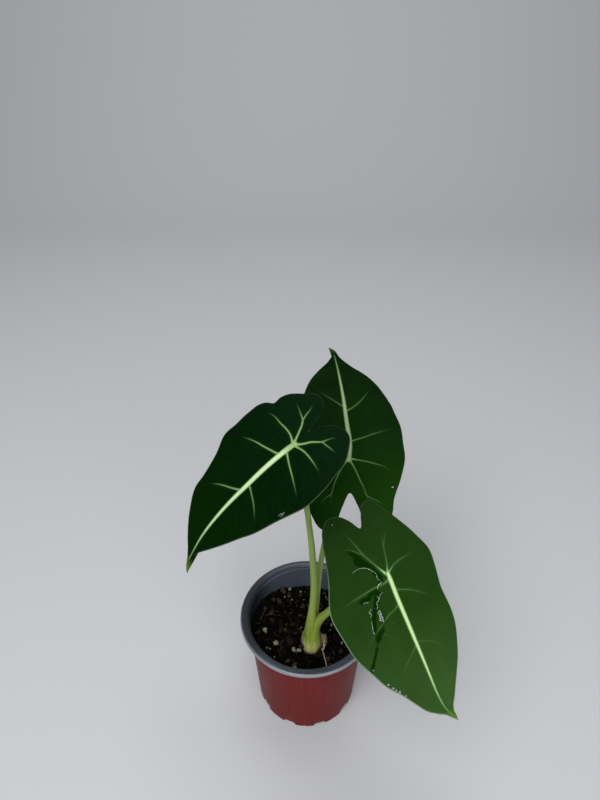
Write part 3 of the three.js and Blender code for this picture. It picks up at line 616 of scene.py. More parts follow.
def fibre_paths():
    """Fibres that lie on the mix: each bends evenly and dips into the mix at both ends."""
    random = np.random.default_rng(31)
    steps = np.linspace(-1, 1, 9)
    middle = np.array([[-11, -5.5], [-6, 2], [9, 12], [-20, 9]])
    more = FIBRES - len(middle)
    loose = FIBRE_SPREAD * np.sqrt(random.uniform(0.02, 1, (more, 1)))
    loose_turn = random.uniform(0, 2 * np.pi, (more, 1))
    middle = np.concatenate([middle, loose * np.concatenate([np.cos(loose_turn), np.sin(loose_turn)], 1)])
    length = random.uniform(2.5, 6, (FIBRES, 1))
    length[:2] = 6.5
    heading = random.uniform(0, np.pi, (FIBRES, 1))
    heading[:2] = [[-0.5], [1.5]]
    bow = random.uniform(-1.6, 1.6, (FIBRES, 1))
    ahead, aside = length * steps, bow * (1 - steps ** 2)
    x = middle[:, :1] + ahead * np.cos(heading) - aside * np.sin(heading)
    y = middle[:, 1:] + ahead * np.sin(heading) + aside * np.cos(heading)
    off_stem = (np.hypot(x - STEM[0], y - STEM[1]) > FIBRE_STEM_CLEARANCE).all(axis=1)
    inside = (np.hypot(x, y) < FIBRE_REACH).all(axis=1) & off_stem
    z = soil_height(x, y) + 1.0 - 1.6 * steps ** 4
    return np.stack([x, y, z], -1)[inside]


paths = fibre_paths()
fibre_radius = 0.2 + 0.1 * np.linspace(1, 0, 9)
fibres = closed_mesh("peat_fibres", tube_rings(paths, fibre_radius + 0 * paths[..., 0], 5))

# Dead moss and root fibres: dull tan, matt, darker where they are wet.
dead_fibre, shader = new_material("dead root fibre")
place = add_node(dead_fibre, "TexCoord").outputs["Object"]
wetness = add_node(dead_fibre, "TexNoise", {"Vector": place, "Scale": 1 / (5 * MM), "Detail": 2})
wet = add_node(dead_fibre, "MixRGB", {
    "Fac": wetness.outputs[0], "Color1": "#3d3425", "Color2": "#1c170f",
}).outputs[0]
wire(dead_fibre, shader, {"Base Color": wet, "Roughness": 0.8, "Specular IOR Level": 0.15})
fibres.data.materials.append(dead_fibre)
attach(fibres, "root")

# Corm
# The plant's swollen stem base, most of it in the mix: brown fibrous skin round a firm core, with the
# skin torn low in front of the pale bulb that the stalks rise from.

CORM_RADIUS = 8.8
CORM_SKIN_RADIUS = 8.85
CORM_SKIN_FOOT_Z = 73
CORM_WAIST_Z = 79
CORM_RIM_Z = 87
LOWEST_RIM_Z = 75.6
LINING_FOOT_Z = 75.2
LINING_FOOT_RADIUS = 5.6
SEAT_Z = 75.1
SEAT_RADIUS = 3
CORM_SKIN = 0.7
CORM_COLUMNS = 120
TEAR_SLOPE = np.tan(np.radians(50))
ROOTS = 6
ROOT_SPREAD = 27


def corm_rings():
    """The corm's outside from its foot to the torn rim, and back down inside the skin.

    The rim lies where the skin's cylinder meets a plane that falls towards the front, with a ragged
    edge added. Low folds run up the skin, which is drawn in where it is torn in front.
    """
    turn = full_turn(CORM_COLUMNS)
    lean = circles(1, turn, 0)
    ragged = 1.0 * unevenness(lean * CORM_RADIUS, 7, 41) + 0.5 * unevenness(lean * CORM_RADIUS, 2.2, 42)
    rim = np.minimum(CORM_RIM_Z, CORM_RIM_Z + TEAR_SLOPE * (8 * np.sin(turn) - 1)) + ragged
    rim = np.maximum(rim, LOWEST_RIM_Z)
    body = np.array([[0.5, 46], [3.5, 46.8], [7, 53.5], [8.3, 60], [8.7, 66], [CORM_RADIUS, 72]])
    body_rings = circles(body[:, :1], turn, body[:, 1:])
    share = np.linspace(0, 1, 16)[:, None]
    z = CORM_SKIN_FOOT_Z + (rim - CORM_SKIN_FOOT_Z) * share
    frayed = 0.25 * smoothstep(0.8, 1, share) * ragged
    outer = CORM_SKIN_RADIUS - 1.1 * smoothstep(CORM_WAIST_Z, CORM_RIM_Z, z) + frayed
    skin = circles(outer, turn, z)
    inner = outer[-1] - CORM_SKIN + (LINING_FOOT_RADIUS - outer[-1] + CORM_SKIN) * share[::2]
    inner_z = np.maximum(rim - 1.2 * share[::2] ** 2, LINING_FOOT_Z) - 0.1 * (share[::2] > 0)
    lining = circles(inner, turn, inner_z)
    seat = circles(SEAT_RADIUS, turn, SEAT_Z)[None]
    rings = np.concatenate([body_rings, skin, lining, seat])
    folds = 0.14 * unevenness(rings * [1, 1, 0.12], 2.4, 43)
    rings[:-2, :, :2] *= 1 + (folds / CORM_RADIUS)[:-2, :, None]
    drawn_in = 0.22 * np.clip(-np.sin(turn + 0.15), 0, 1) * smoothstep(66, 74, rings[..., 2])
    rings[..., :2] *= 1 - drawn_in[..., None]
    return rings + [*STEM, 0]


corm = closed_mesh("corm_skin", corm_rings())

# Corm skin: thin, dry and fibrous, tan where it is clean and dark brown in patches where peat has stained it.
# It is also painted darker towards its foot, as painted shade in the mix's hollow.
skin_fibre, shader = new_material("corm skin, dry and fibrous")
place = add_node(skin_fibre, "TexCoord").outputs["Object"]
height = add_node(skin_fibre, "SeparateXYZ", {"Vector": place}).outputs["Z"]
thread_place = add_node(skin_fibre, "Mapping", {"Vector": place, "Scale": (1, 1, 0.12)}).outputs[0]
threads = add_node(skin_fibre, "TexNoise", {"Vector": thread_place, "Scale": 1 / (0.7 * MM), "Detail": 4})
stains = add_node(skin_fibre, "TexNoise", {"Vector": place, "Scale": 1 / (4 * MM), "Detail": 3})
threaded = add_node(skin_fibre, "MixRGB", {
    "Fac": threads.outputs[0], "Color1": "#3d3222", "Color2": "#6b5d45",
}).outputs[0]
# Painted shade: the skin darkens towards its foot, down in the hollow.
low = add_node(skin_fibre, "MapRange", {
    "Value": height, "From Min": 77.5 * MM, "From Max": 85 * MM, "To Min": 1.1, "To Max": 0.1,
}).outputs[0]
stain_and_low_shade = add_node(skin_fibre, "Math", {0: stains.outputs[0], 1: low}, operation="ADD").outputs[0]
stained = add_node(skin_fibre, "MixRGB", {
    "Fac": add_node(skin_fibre, "MapRange", {
        "Value": stain_and_low_shade, "From Min": 0.55, "From Max": 1.25,
    }).outputs[0],
    "Color1": threaded, "Color2": "#140f09",
}).outputs[0]
thread_bump = add_node(skin_fibre, "Bump", {
    "Height": threads.outputs[0], "Strength": 0.9, "Distance": 0.5 * MM,
})
wire(skin_fibre, shader, {"Base Color": stained, "Roughness": 0.7, "Normal": thread_bump.outputs[0]})
corm.data.materials.append(skin_fibre)
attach(corm, "root")
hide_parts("corm")


def root_paths():
    """Roots that leave the corm on all sides and go down and outwards in the mix."""
    paths = []
    for i in range(ROOTS):
        angle = 2 * np.pi * (i + 0.3) / ROOTS
        turned = angle + (0.5 if i % 2 else -0.4)
        end = ROOT_SPREAD * np.array([np.cos(turned), np.sin(turned)])
        start = STEM + 5 * np.array([np.cos(angle), np.sin(angle)])
        paths.append(smooth_path([
            [*start, 58], [*(0.6 * start + 0.4 * end), 47 - 3 * (i % 3)], [*(0.9 * end), 30 - 4 * (i % 2)],
            [*end, 12],
        ], 20))
    return np.array(paths)


root_radius = np.linspace(1.5, 0.9, 20) + np.zeros((ROOTS, 1))
roots = closed_mesh("roots", tube_rings(root_paths(), root_radius, 10, (0.2, -0.3, 0.1)))
stray_path = smooth_path([
    [10.6, -20.6, 77.6], [11.4, -23, 76.6], [12.3, -26.5, 76.2], [13.2, -30.5, 75.8], [13.8, -33.6, 75.5],
    [14.4, -37, 74.5],
], 30)
stray_radius = np.interp(np.linspace(0, 1, 30), [0, 0.3, 1], [0.55, 0.42, 0.3])
stray_root = closed_mesh("stray_root", tube_rings(stray_path, stray_radius, 8))

# Living roots: pale and slightly fuzzy, stained pinkish tan by the peat.
root_skin, shader = new_material("root skin, pale")
place = add_node(root_skin, "TexCoord").outputs["Object"]
stains = add_node(root_skin, "TexNoise", {"Vector": place, "Scale": 1 / (2.5 * MM), "Detail": 3})
stained = add_node(root_skin, "MixRGB", {
    "Fac": stains.outputs[0], "Color1": "#a58d72", "Color2": "#6f5844",
}).outputs[0]
fuzz = add_node(root_skin, "TexNoise", {"Vector": place, "Scale": 1 / (0.3 * MM), "Detail": 2})
fuzz_bump = add_node(root_skin, "Bump", {"Height": fuzz.outputs[0], "Strength": 0.6, "Distance": 0.2 * MM})
wire(root_skin, shader, {"Base Color": stained, "Roughness": 0.65, "Normal": fuzz_bump.outputs[0]})
for piece in (roots, stray_root):
    piece.data.materials.append(root_skin)
    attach(piece, "root")
    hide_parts("corm")

# Dry sheath
# The brown, papery remains of an older leaf's sheath. It still hangs on the right of the stem base and
# curls outwards down to the mix.

SCRAP_ROWS = 30
SCRAP_ACROSS = 14


def scrap_rings():
    """A thin curved strip: each row is an arc about the stem, there and back at the strip's thickness."""
    run = smooth_path([[7.6, 90.6], [8.5, 88.4], [9.7, 85.4], [10.4, 81.6], [9.3, 77.8]], SCRAP_ROWS)
    u = np.linspace(0, 1, SCRAP_ROWS)
    spread = np.interp(u, [0, 0.25, 0.5, 0.75, 1], [9, 18, 26, 32, 20])
    middle = -14 + 6 * np.sin(5 * u)
    share = np.linspace(-1, 1, SCRAP_ACROSS)
    share = np.concatenate([share, share[::-1]])
    inward = np.repeat([0, 0.45], SCRAP_ACROSS)
    turn = np.radians(middle[:, None] + spread[:, None] * share)
    crumple = 0.35 * np.sin(9 * u[:, None] + 5 * share) + 0.3 * np.sin(17 * share - 6 * u[:, None])
    curl = 0.9 * share ** 4 * u[:, None]
    radius = run[:, :1] + crumple + curl - inward
    ragged = 0.8 * np.sin(7 * share) * (1 - u[:, None]) ** 6
    return circles(radius, turn, run[:, 1:] + ragged) + [*STEM, 0]


scrap = closed_mesh("dry_sheath_scrap", scrap_rings())

# Dead sheath: papery and brown with long fibres, some of them paler and pinkish.
papery, shader = new_material("dead sheath, papery")
place = add_node(papery, "TexCoord").outputs["Object"]
thread_place = add_node(papery, "Mapping", {"Vector": place, "Scale": (1, 1, 0.15)}).outputs[0]
threads = add_node(papery, "TexNoise", {"Vector": thread_place, "Scale": 1 / (0.6 * MM), "Detail": 4})
patches = add_node(papery, "TexNoise", {"Vector": place, "Scale": 1 / (3.5 * MM), "Detail": 3})
browned = add_node(papery, "MixRGB", {
    "Fac": patches.outputs[0], "Color1": "#8a6f55", "Color2": "#4c3a29",
}).outputs[0]
threaded = add_node(papery, "MixRGB", {
    "Fac": add_node(papery, "MapRange", {
        "Value": threads.outputs[0], "From Min": 0.4, "From Max": 0.7,
    }).outputs[0],
    "Color1": browned, "Color2": "#a98f73",
}).outputs[0]
thread_bump = add_node(papery, "Bump", {"Height": threads.outputs[0], "Strength": 0.8, "Distance": 0.4 * MM})
wire(papery, shader, {"Base Color": threaded, "Roughness": 0.6, "Normal": thread_bump.outputs[0]})
scrap.data.materials.append(papery)
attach(scrap, "root")
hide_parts("dry_sheath")

# Leaf stalks
# Firm, juicy stalks, round above and widening below into sheaths that clasp each other. The lowest
# leaf's sheath swells into the pale bulb and wraps the other two.

STALK_COLUMNS = 40
STALK_ROWS = 150
STALKS = {
    "stalk_right": {
        "points": [
            [3.3, -17, 75], [3.2, -17, 79], [3.4, -17, 84], [3.5, -17, 90], [4.2, -17, 96],
            [5.8, -17.3, 102], [8, -18, 108], [10.6, -19.3, 114.2], [13, -21, 119.8],
            [16.4, -23.4, 128.5], [25.5, -31, 152], [35.5, -41, 178], [44, -52, 199.6],
        ],
        "radii": [
            [0, 6.8], [0.006, 7.4], [0.02, 7.4], [0.055, 6.5], [0.1, 5.7], [0.135, 5.1], [0.17, 4.4],
            [0.21, 3.7], [0.25, 3.15], [0.29, 2.8], [0.36, 2.45], [0.55, 2.05], [0.8, 1.8], [0.97, 1.75],
            [1, 1.7],
        ],
    },
    "stalk_left": {
        "points": [
            [2.6, -17, 84], [2.3, -17.2, 92], [2.3, -17.6, 100], [2.5, -18, 107], [2.9, -18, 115],
            [3.6, -18, 125], [4, -18, 145], [2.6, -18.3, 177], [-0.2, -18.8, 209], [-3.9, -19.3, 241],
            [-8, -20, 270.6],
        ],
        "radii": [
            [0, 4.2], [0.03, 4.8], [0.06, 4.5], [0.09, 4.1], [0.125, 3.5], [0.16, 3], [0.22, 2.6],
            [0.33, 2.35], [0.43, 2.25], [0.5, 2.1], [0.6, 1.85], [0.7, 1.75], [0.9, 1.65], [1, 1.7],
        ],
    },
    "stalk_back": {
        "points": [
            [4.6, -14, 92], [5.2, -13.6, 99], [6, -12.9, 116], [7.3, -11.2, 143], [9.8, -7.4, 168],
            [14.8, -0.8, 193], [20.4, 8, 213], [26, 17, 227.6],
        ],
        "radii": [[0, 1.8], [0.05, 2.3], [0.15, 2.2], [0.35, 2.05], [0.6, 1.8], [0.85, 1.6], [1, 1.6]],
    },
}


def stalk_rings(stalk):
    """Rings along the stalk, with fine ribs that run its whole length and fade in the bulb."""
    path = smooth_path(stalk["points"], STALK_ROWS)
    u = np.linspace(0, 1, STALK_ROWS)
    shares, radii = np.transpose(stalk["radii"])
    radius = np.interp(u, shares, radii)
    radius = np.convolve(np.pad(radius, 2, "edge"), [0.1, 0.2, 0.4, 0.2, 0.1], "valid")
    radius[0] = radii[0]
    rings = tube_rings(path, radius, STALK_COLUMNS, (0.3, -1, 0.1))
    turn = full_turn(STALK_COLUMNS)
    ribs = 0.02 * np.sin(10 * turn) * np.minimum(1, 3 / radius)[:, None]
    return path[:, None] + (rings - path[:, None]) * (1 + ribs[..., None])


# Stalk skin: thin and glossy over pale green flesh. Peat stains the bulb's foot brown. Above that it is
# pale and creamy, then yellow-green, and greener near the blade, with fine streaks along the fibres.
stalk_skin, shader = new_material("leaf stalk skin")
place = add_node(stalk_skin, "TexCoord").outputs["Object"]
height = add_node(stalk_skin, "SeparateXYZ", {"Vector": place}).outputs["Z"]
streak_place = add_node(stalk_skin, "CombineXYZ", {
    "X": add_node(stalk_skin, "Attribute", attribute_name="around_x").outputs["Fac"],
    "Y": add_node(stalk_skin, "Attribute", attribute_name="around_y").outputs["Fac"],
    "Z": add_node(stalk_skin, "Attribute", attribute_name="along").outputs["Fac"],
}).outputs[0]
streaks = add_node(stalk_skin, "TexNoise", {"Vector": streak_place, "Scale": 3.2, "Detail": 4})
speckles = add_node(stalk_skin, "TexNoise", {"Vector": place, "Scale": 1 / (1.2 * MM), "Detail": 3})
grade = add_node(stalk_skin, "ValToRGB", {
    "Fac": add_node(stalk_skin, "MapRange", {
        "Value": height, "From Min": 75.5 * MM, "From Max": 275.5 * MM,
    }).outputs[0],
})
ramp = grade.color_ramp
ramp.elements[0].color = linear("#2e2417")
ramp.elements[1].color = linear("#75934a")
STALK_GRADE = {
    0.006: "#6a5a3c", 0.018: "#9a9364", 0.035: "#a4a568", 0.07: "#7b8c36", 0.14: "#798839",
    0.3: "#7e9645", 0.6: "#7f9a4a",
}
for position, colour in STALK_GRADE.items():
    ramp.elements.new(position).color = linear(colour)
streaked = add_node(stalk_skin, "MixRGB", {
    "Fac": add_node(stalk_skin, "MapRange", {
        "Value": streaks.outputs[0], "From Min": 0.4, "From Max": 0.7, "To Max": 0.6,
    }).outputs[0],
    "Color1": grade.outputs[0], "Color2": "#5f7428",
}).outputs[0]
speckled = add_node(stalk_skin, "MixRGB", {
    "Fac": add_node(stalk_skin, "MapRange", {
        "Value": speckles.outputs[0], "From Min": 0.62, "From Max": 0.8, "To Max": 0.35,
    }).outputs[0],
    "Color1": streaked, "Color2": "#a9b274",
}).outputs[0]
streak_bump = add_node(stalk_skin, "Bump", {
    "Height": streaks.outputs[0], "Strength": 0.4, "Distance": 0.2 * MM,
})
wire(stalk_skin, shader, {
    "Base Color": speckled, "Roughness": 0.4, "Specular IOR Level": 0.25, "Normal": streak_bump.outputs[0],
    "Subsurface Weight": 0.12, "Subsurface Radius": (1.2 * MM, 2 * MM, 0.6 * MM),
})

for name, stalk in STALKS.items():
    rings = stalk_rings(stalk)
    piece = closed_mesh(name + "_skin", rings)
    turn = full_turn(STALK_COLUMNS)
    blank = np.zeros((STALK_ROWS, STALK_COLUMNS))
    paint(piece, "around_x", blank + np.cos(turn))
    paint(piece, "around_y", blank + np.sin(turn))
    paint(piece, "along", blank + 2.5 * np.linspace(0, 1, STALK_ROWS)[:, None])
    piece.data.materials.append(stalk_skin)
    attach(piece, "root")
    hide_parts(name)

# Leaf blades
# Three arrow-shaped blades, velvety and almost black-green above with pale ribs, paler and ribbed below.
# Each is drawn flat, with x from the stalk to the tip and y to its left, and then shaped.

BLADE_COLUMNS = 540
UPPER_ROWS = 84
UNDER_ROWS = 34
BLADE_HALF_THICKNESS = 0.36
LOBE_REACH = 40
HALF_WIDTH = 30
FOLD_EASE = 4
STAR_REACH = 0.2
STAR_START = 3
LEAVES = {
    "leaf_left": {
        "junction": [-8, -20, 271], "heading": -156, "slope": -27, "roll": -20, "length": 94,
        "bend": 11, "droop": 26, "lobe_droop": 6, "fold": 0.12, "wave": 0.9, "wave_length": 31,
        "outline": [
            [93.3, 4.2], [89.5, 3.2], [86.3, 2.7], [83.4, 2.6], [80.3, 3.8], [77, 6.1], [71, 10.3],
            [62, 16], [54, 20.3], [46, 24.6], [35, 28.8], [23, 32], [12, 34.3], [2, 33.5], [-7, 30],
            [-15, 27], [-21, 22], [-26, 14.5], [-25, 7.5], [-18, 1.2],
            [-9.5, -0.8], [-18, -4.5], [-25.5, -10], [-26, -16.5], [-20, -21.8], [-12.5, -26.6],
            [-8, -27.3], [-3, -26.7], [0.5, -30], [5, -32.2], [13, -32.5], [22, -31], [31, -31],
            [41, -27], [53, -23.6], [63, -22.6], [71, -18], [77, -13], [82.2, -7.6], [85.3, -4],
            [88.1, -1.4], [91.7, 1.4],
        ],
        "midrib": [
            [0.6, 0.5], [10, 0.5], [25, 0.7], [35, 0.8], [47, 0.2], [61, -0.5], [74, -0.8], [88, 0.2],
        ],
        "midrib_width": 1.52,
        "veins": [
            [[[1.8, 0.4], [-0.2, -5.4], [-0.3, -9.5], [0.5, -14.3], [1, -19.6], [3.3, -25.7]], 0.62, 1],
            [[[1.8, 0.4], [-4.5, -3.5], [-10.3, -8.1], [-11.9, -12.7], [-13.4, -20.3]], 0.75, 1],
            [[[-9, -7], [-10.3, -8.1], [-13.3, -9.7], [-17.3, -11.2], [-20.7, -13.1]], 0.45, 0.9],
            [[[11, 0], [14, -6.1], [18.9, -16.7], [23.6, -24]], 0.62, 1],
            [[[40, 0], [43.2, -4.4], [48.5, -12], [53.7, -17.7]], 0.55, 0.95],
            [[[34, 1], [35.7, 6.5], [38.5, 13.9], [43.2, 21.4]], 0.55, 0.95],
            [[[6.5, 0.5], [9, 7], [11.9, 15.8], [16.4, 28.2]], 0.6, 1],
            [[[1.8, 0.4], [-0.8, 6.8], [-1.7, 15.8], [-1, 25.2]], 0.6, 1],
            [[[1.8, 0.4], [-3.4, 3.7], [-7.3, 5.5], [-11.6, 8.7], [-18, 11], [-21, 12.8]], 0.85, 1],
            [[[-10.6, 7.8], [-11.6, 8.7], [-12.9, 12.6], [-14.8, 20.2]], 0.4, 0.9],
        ],
        # The bluish near-black of the lobes and the greener end are partly the blade's own tone and partly
        # painted shade and sheen.
        "colours": {
            "lobes": "#08170a", "middle": "#021102", "end": "#051802", "streak": "#072005",
            "vein": "#617d4c", "midrib": "#a3b48e", "node": "#7d9066", "rim": "#40553c",
            "tip": "#48661f",
        },
        "shine": 0.01, "streakiness": 0.4,
    },
    "leaf_back": {
        "junction": [26, 17, 228], "heading": 89, "slope": 24, "roll": -3, "length": 96,
        "bend": 10, "droop": 10, "lobe_droop": 6, "fold": 0.12, "wave": 0.8, "wave_length": 34,
        "outline": [
            [95, 2.6], [88, 1.4], [81, 5.2], [71, 14], [61, 21.6], [50, 26.6], [37, 30.4], [23, 34.2],
            [8, 35.4], [-5, 34.4], [-17, 31.5], [-29, 27.2], [-37, 23.8], [-44, 19], [-46.5, 12.8],
            [-40, 8.5], [-31, 4.6], [-23, 0], [-31, -4.8], [-40, -8.5], [-45, -15], [-43, -22.5],
            [-36, -25.6], [-28, -26.9], [-15, -31.8], [-3, -35], [10, -35.2], [20, -34.8], [30, -32.4],
            [39.5, -30.6], [49, -27.2], [57, -23.4], [66, -17.6], [75, -9.4], [85, -3],
            [91.5, -1],
        ],
        "midrib": [[-1.5, 0], [12, -1], [25, -0.1], [44, 0.2], [60, 0.3], [75, 0.2], [87, 0.2]],
        "midrib_width": 1.42,
        "veins": [
            [[[35.5, 0], [38.8, -5.5], [42.3, -9.8], [47.3, -14.4], [54.5, -20.5]], 0.5, 0.75],
            [[[39, 0], [43.3, 5.7], [46.6, 9.6], [49.9, 13.6], [54.5, 18]], 0.5, 0.75],
            [[[12, -0.8], [13.9, -7.1], [15.7, -13.1], [17.7, -19.3], [20.5, -30.5]], 0.52, 0.7],
            [[[12, 0.5], [13.9, 7.1], [15.7, 13.5], [18.5, 21], [21.5, 29]], 0.52, 0.7],
            [[[0, 0], [-1.9, -7.8], [-5.6, -19.2], [-11.4, -28.4]], 0.55, 0.75],
            [[[0, 0], [-1.9, 7.8], [-5.6, 19.2], [-11.4, 28.4]], 0.55, 0.75],
            [[[0, 0], [-8, -3.9], [-14.2, -6.3], [-24.5, -10.2], [-31.5, -10.8]], 0.6, 0.85],
            [[[-22.5, -9.5], [-24.5, -10.2], [-27.6, -15.4], [-32.6, -23.4]], 0.42, 0.7],
            [[[0, 0], [-6.4, 4.6], [-11.1, 7], [-23, 11.2], [-33.6, 12.3]], 0.6, 0.85],
            [[[-21, 10.6], [-23, 11.2], [-26.6, 15.2], [-31.6, 20]], 0.42, 0.7],
        ],
        "colours": {
            "lobes": "#0f2b05", "middle": "#081806", "end": "#051205", "streak": "#0c2109",
            "vein": "#4e6839", "midrib": "#77836b", "node": "#76836a", "rim": "#1d3018", "tip": "#2f4420",
        },
        "shine": 0.01, "streakiness": 0.35,
    },
    "leaf_right": {
        "junction": [44, -52, 200], "heading": -67, "slope": -35, "roll": -2, "length": 85,
        "bend": 10, "droop": 7, "lobe_droop": 7, "fold": 0.1, "wave": 0.7, "wave_length": 29,
        "outline": [
            [85, 3.6], [82.4, 4], [80, 4], [77.3, 5], [72.9, 8.3], [67.2, 12.2], [62, 15.8], [52, 22.2],
            [40, 27.4], [28, 29.2], [16, 29.4], [4, 30.4],
            [-6, 31], [-16, 26.6], [-27, 20.6], [-37, 15], [-44, 9.5], [-42, 3.6], [-36, 0], [-29, -4],
            [-35, -8.5], [-39.5, -14], [-39.5, -21], [-35, -26.6], [-27, -30], [-19, -31.6], [-9, -34.6],
            [2, -38], [14, -40], [26, -38.4], [36, -35.4], [45, -31], [54, -26.4], [62, -19.4],
            [69.3, -14.3], [73.8, -11], [77.8, -5.4], [80.2, -1.1], [82.8, 1.4],
        ],
        "midrib": [
            [0.1, 1.2], [5, 1.3], [12, 1.3], [29, 1.5], [50, 1], [60, 0.4], [68, -0.2], [76, 0.1], [82, 1.9],
        ],
        "midrib_width": 1.4,
        "veins": [
            [[[3.5, 0.4], [4.4, -3], [5, -9.5], [6.3, -17.6], [7.8, -25.6], [9.8, -35.5]], 0.6, 0.5],
            [[[17, 1], [17.9, 0.1], [21.2, -7.7], [24.9, -14], [28.8, -21.2], [34.4, -30.2]], 0.5, 0.42],
            [[[40.5, 1], [42, -0.4], [45.4, -5.3], [48.8, -10.2], [54.5, -17]], 0.45, 0.34],
            [[[9.6, 1.4], [10.1, 3.2], [11.9, 8.8], [14.7, 14.3], [17.2, 17.8], [21, 22.4]], 0.5, 0.4],
            [[[39, 1.4], [39.4, 2.5], [41.7, 8.7], [44.9, 13.9], [49, 18.4]], 0.45, 0.34],
            [
                [[0, 0], [-5.1, -3.6], [-9.4, -6.4], [-13.7, -9.1], [-19.2, -11.2], [-25.5, -13.6],
                 [-34, -15.4]], 0.62, 0.5,
            ],
            [[[-12, -7.9], [-13.7, -9.1], [-16.4, -12.5], [-19.2, -16.5], [-21.3, -23]], 0.42, 0.42],
            [[[0, 1], [-6.4, 3.1], [-12.3, 4.2], [-18.3, 5.5], [-25.5, 5.8]], 0.5, 0.42],
            [[[-11, 3.9], [-12.3, 4.2], [-16.7, 5.9], [-21.5, 8.9], [-25, 12]], 0.38, 0.3],
            [[[0, 1.2], [-1.3, 3.2], [-3.4, 6.3], [-5.1, 11.6], [-6.3, 17.5], [-7.2, 23.5]], 0.5, 0.42],
        ],
        # These colours, lighter than the other blades' and lightest towards the tip, are partly the blade's
        # own tone and partly painted light: sheen where this blade faces the lamps.
        "colours": {
            "lobes": "#14290c", "middle": "#18310c", "end": "#2c461f", "streak": "#203c17",
            "vein": "#4b6e3c", "midrib": "#a2b984", "node": "#a0b782", "rim": "#667b60", "tip": "#48661f",
        },
        "shine": 0.03, "streakiness": 0.15,
    },
}
WET_PATHS = [
    [[[-17, -15.6], [-13, -13.6], [-9.5, -10.6], [-5.4, -7.4], [-1, -5.2], [3.2, -4.4]], 1.8, 1.7],
    [[[-13, -14.6], [-10, -13.8], [-8.4, -12.2]], 2.2, 1.8],
    [[[6.4, -9.4], [7.6, -13.6], [9.4, -17.6], [9.4, -20.2]], 1.2, 1.6],
    [[[9, -9.4], [13, -12.6], [16.4, -14.6], [20.4, -17.4], [27.4, -20]], 1.9, 1],
    [[[22.4, -11.6], [25.4, -13.6], [28, -16.4], [29.4, -18.6]], 1.2, 1.6],
    [[[29.4, -18.6], [32.8, -20.8], [36.9, -23.4], [40.7, -26.7], [44.8, -30.4]], 0.9, 0.6],
]


def on_blade(leaf, x, y, raised):
    """Where a point of the flat drawing lies on the shaped blade, raised above its middle surface.

    bend carries the tip sideways, droop and lobe_droop arch the blade down, fold raises both halves from
    the midrib, a square of the width lowers the margins, and a wave of the width's cube ripples them.
    """
    forward = np.maximum(x, 0) / leaf["length"]
    backward = np.maximum(-x, 0) / LOBE_REACH
    side = y / HALF_WIDTH
    arch = -leaf["droop"] * forward ** 2 - leaf["lobe_droop"] * backward ** 2
    trough = leaf["fold"] * (np.hypot(y, FOLD_EASE) - FOLD_EASE) - side ** 2
    phase = np.where(y > 0, 0.8, 2.6)
    ripple = leaf["wave"] * np.abs(side) ** 3 * np.sin(2 * np.pi * x / leaf["wave_length"] + phase)
    shaped = np.stack([x, y + leaf["bend"] * forward ** 2, arch + trough + ripple + raised], -1)
    roll, slope, heading = np.radians([leaf["roll"], -leaf["slope"], leaf["heading"]])
    about_x = [[1, 0, 0], [0, np.cos(roll), -np.sin(roll)], [0, np.sin(roll), np.cos(roll)]]
    about_y = [[np.cos(slope), 0, np.sin(slope)], [0, 1, 0], [-np.sin(slope), 0, np.cos(slope)]]
    about_z = [[np.cos(heading), -np.sin(heading), 0], [np.sin(heading), np.cos(heading), 0], [0, 0, 1]]
    turn = np.array(about_z) @ about_y @ about_x
    return shaped @ turn.T + leaf["junction"]


def to_path(x, y, points, count=26):
    """The distance from each place to a smooth curve, and the share of the curve where it is nearest."""
    path = smooth_path(points, count)
    start, step = path[:-1], np.diff(path, axis=0)
    place = np.stack([x, y], -1)[..., None, :]
    share = np.clip(((place - start) * step).sum(-1) / (step ** 2).sum(-1), 0, 1)
    distance = np.linalg.norm(place - start - share[..., None] * step, axis=-1)
    nearest = distance.argmin(axis=-1)[..., None]
    along = (nearest + np.take_along_axis(share, nearest, -1)) / (count - 1)
    return np.take_along_axis(distance, nearest, -1)[..., 0], along[..., 0]


def vein_fields(leaf, x, y):
    """For each place on a blade: how far outside the nearest vein it lies, in millimetres, how strong that
    vein is there, the same gap for the midrib, how high the ribs stand under the blade, and how deep the
    upper face sinks along them.

    A vein thins and fades along its length, and flares where it leaves the midrib. The veins that start at
    the stalk are as pale as the midrib there. A rib below is half an ellipse across.
    """
    distance, along = to_path(x, y, leaf["midrib"], 60)
    width = leaf["midrib_width"]
    taper = width * np.array([0.85, 1.06, 1.02, 0.92, 0.54, 0.14])
    half = np.interp(along, [0, 0.04, 0.15, 0.4, 0.75, 1], taper)
    midrib_gap = distance - half
    stand = 1.9 * half
    ribs = stand * np.sqrt(np.clip(1 - (distance / (1.25 * half)) ** 2, 0, 1))
    groove = 0.3 * np.exp(-((distance / 4) ** 2))
    vein_gap = np.full(x.shape, 99.0)
    strength = np.zeros(x.shape)
    for points, start_width, start_strength in leaf["veins"]:
        distance, along = to_path(x, y, points)
        from_midrib = abs(points[0][1]) < 2
        flare = 0.7 * np.exp(-16 * along) * from_midrib
        half = start_width * (0.8 - 0.52 * along + flare)
        gap = distance - half
        if from_midrib and points[0][0] < STAR_START:
            star_half = 1.5 * start_width * (1 - along / STAR_REACH)
            midrib_gap = np.minimum(midrib_gap, distance - star_half)
        nearer = gap < vein_gap
        vein_gap = np.where(nearer, gap, vein_gap)
        fading = start_strength * (1 - smoothstep(0.45, 1, along)) + 0.35 * np.exp(-14 * along) * from_midrib
        strength = np.where(nearer, np.minimum(fading, 1), strength)
        rib = 1.5 * half * (1 - along) * np.sqrt(np.clip(1 - (distance / (1.3 * half)) ** 2, 0, 1))
        ribs = np.maximum(ribs, rib)
        groove = np.maximum(groove, 0.38 * (1 - along ** 3) * np.exp(-((distance / 2.6) ** 2)))
    return midrib_gap, vein_gap, strength, ribs, groove


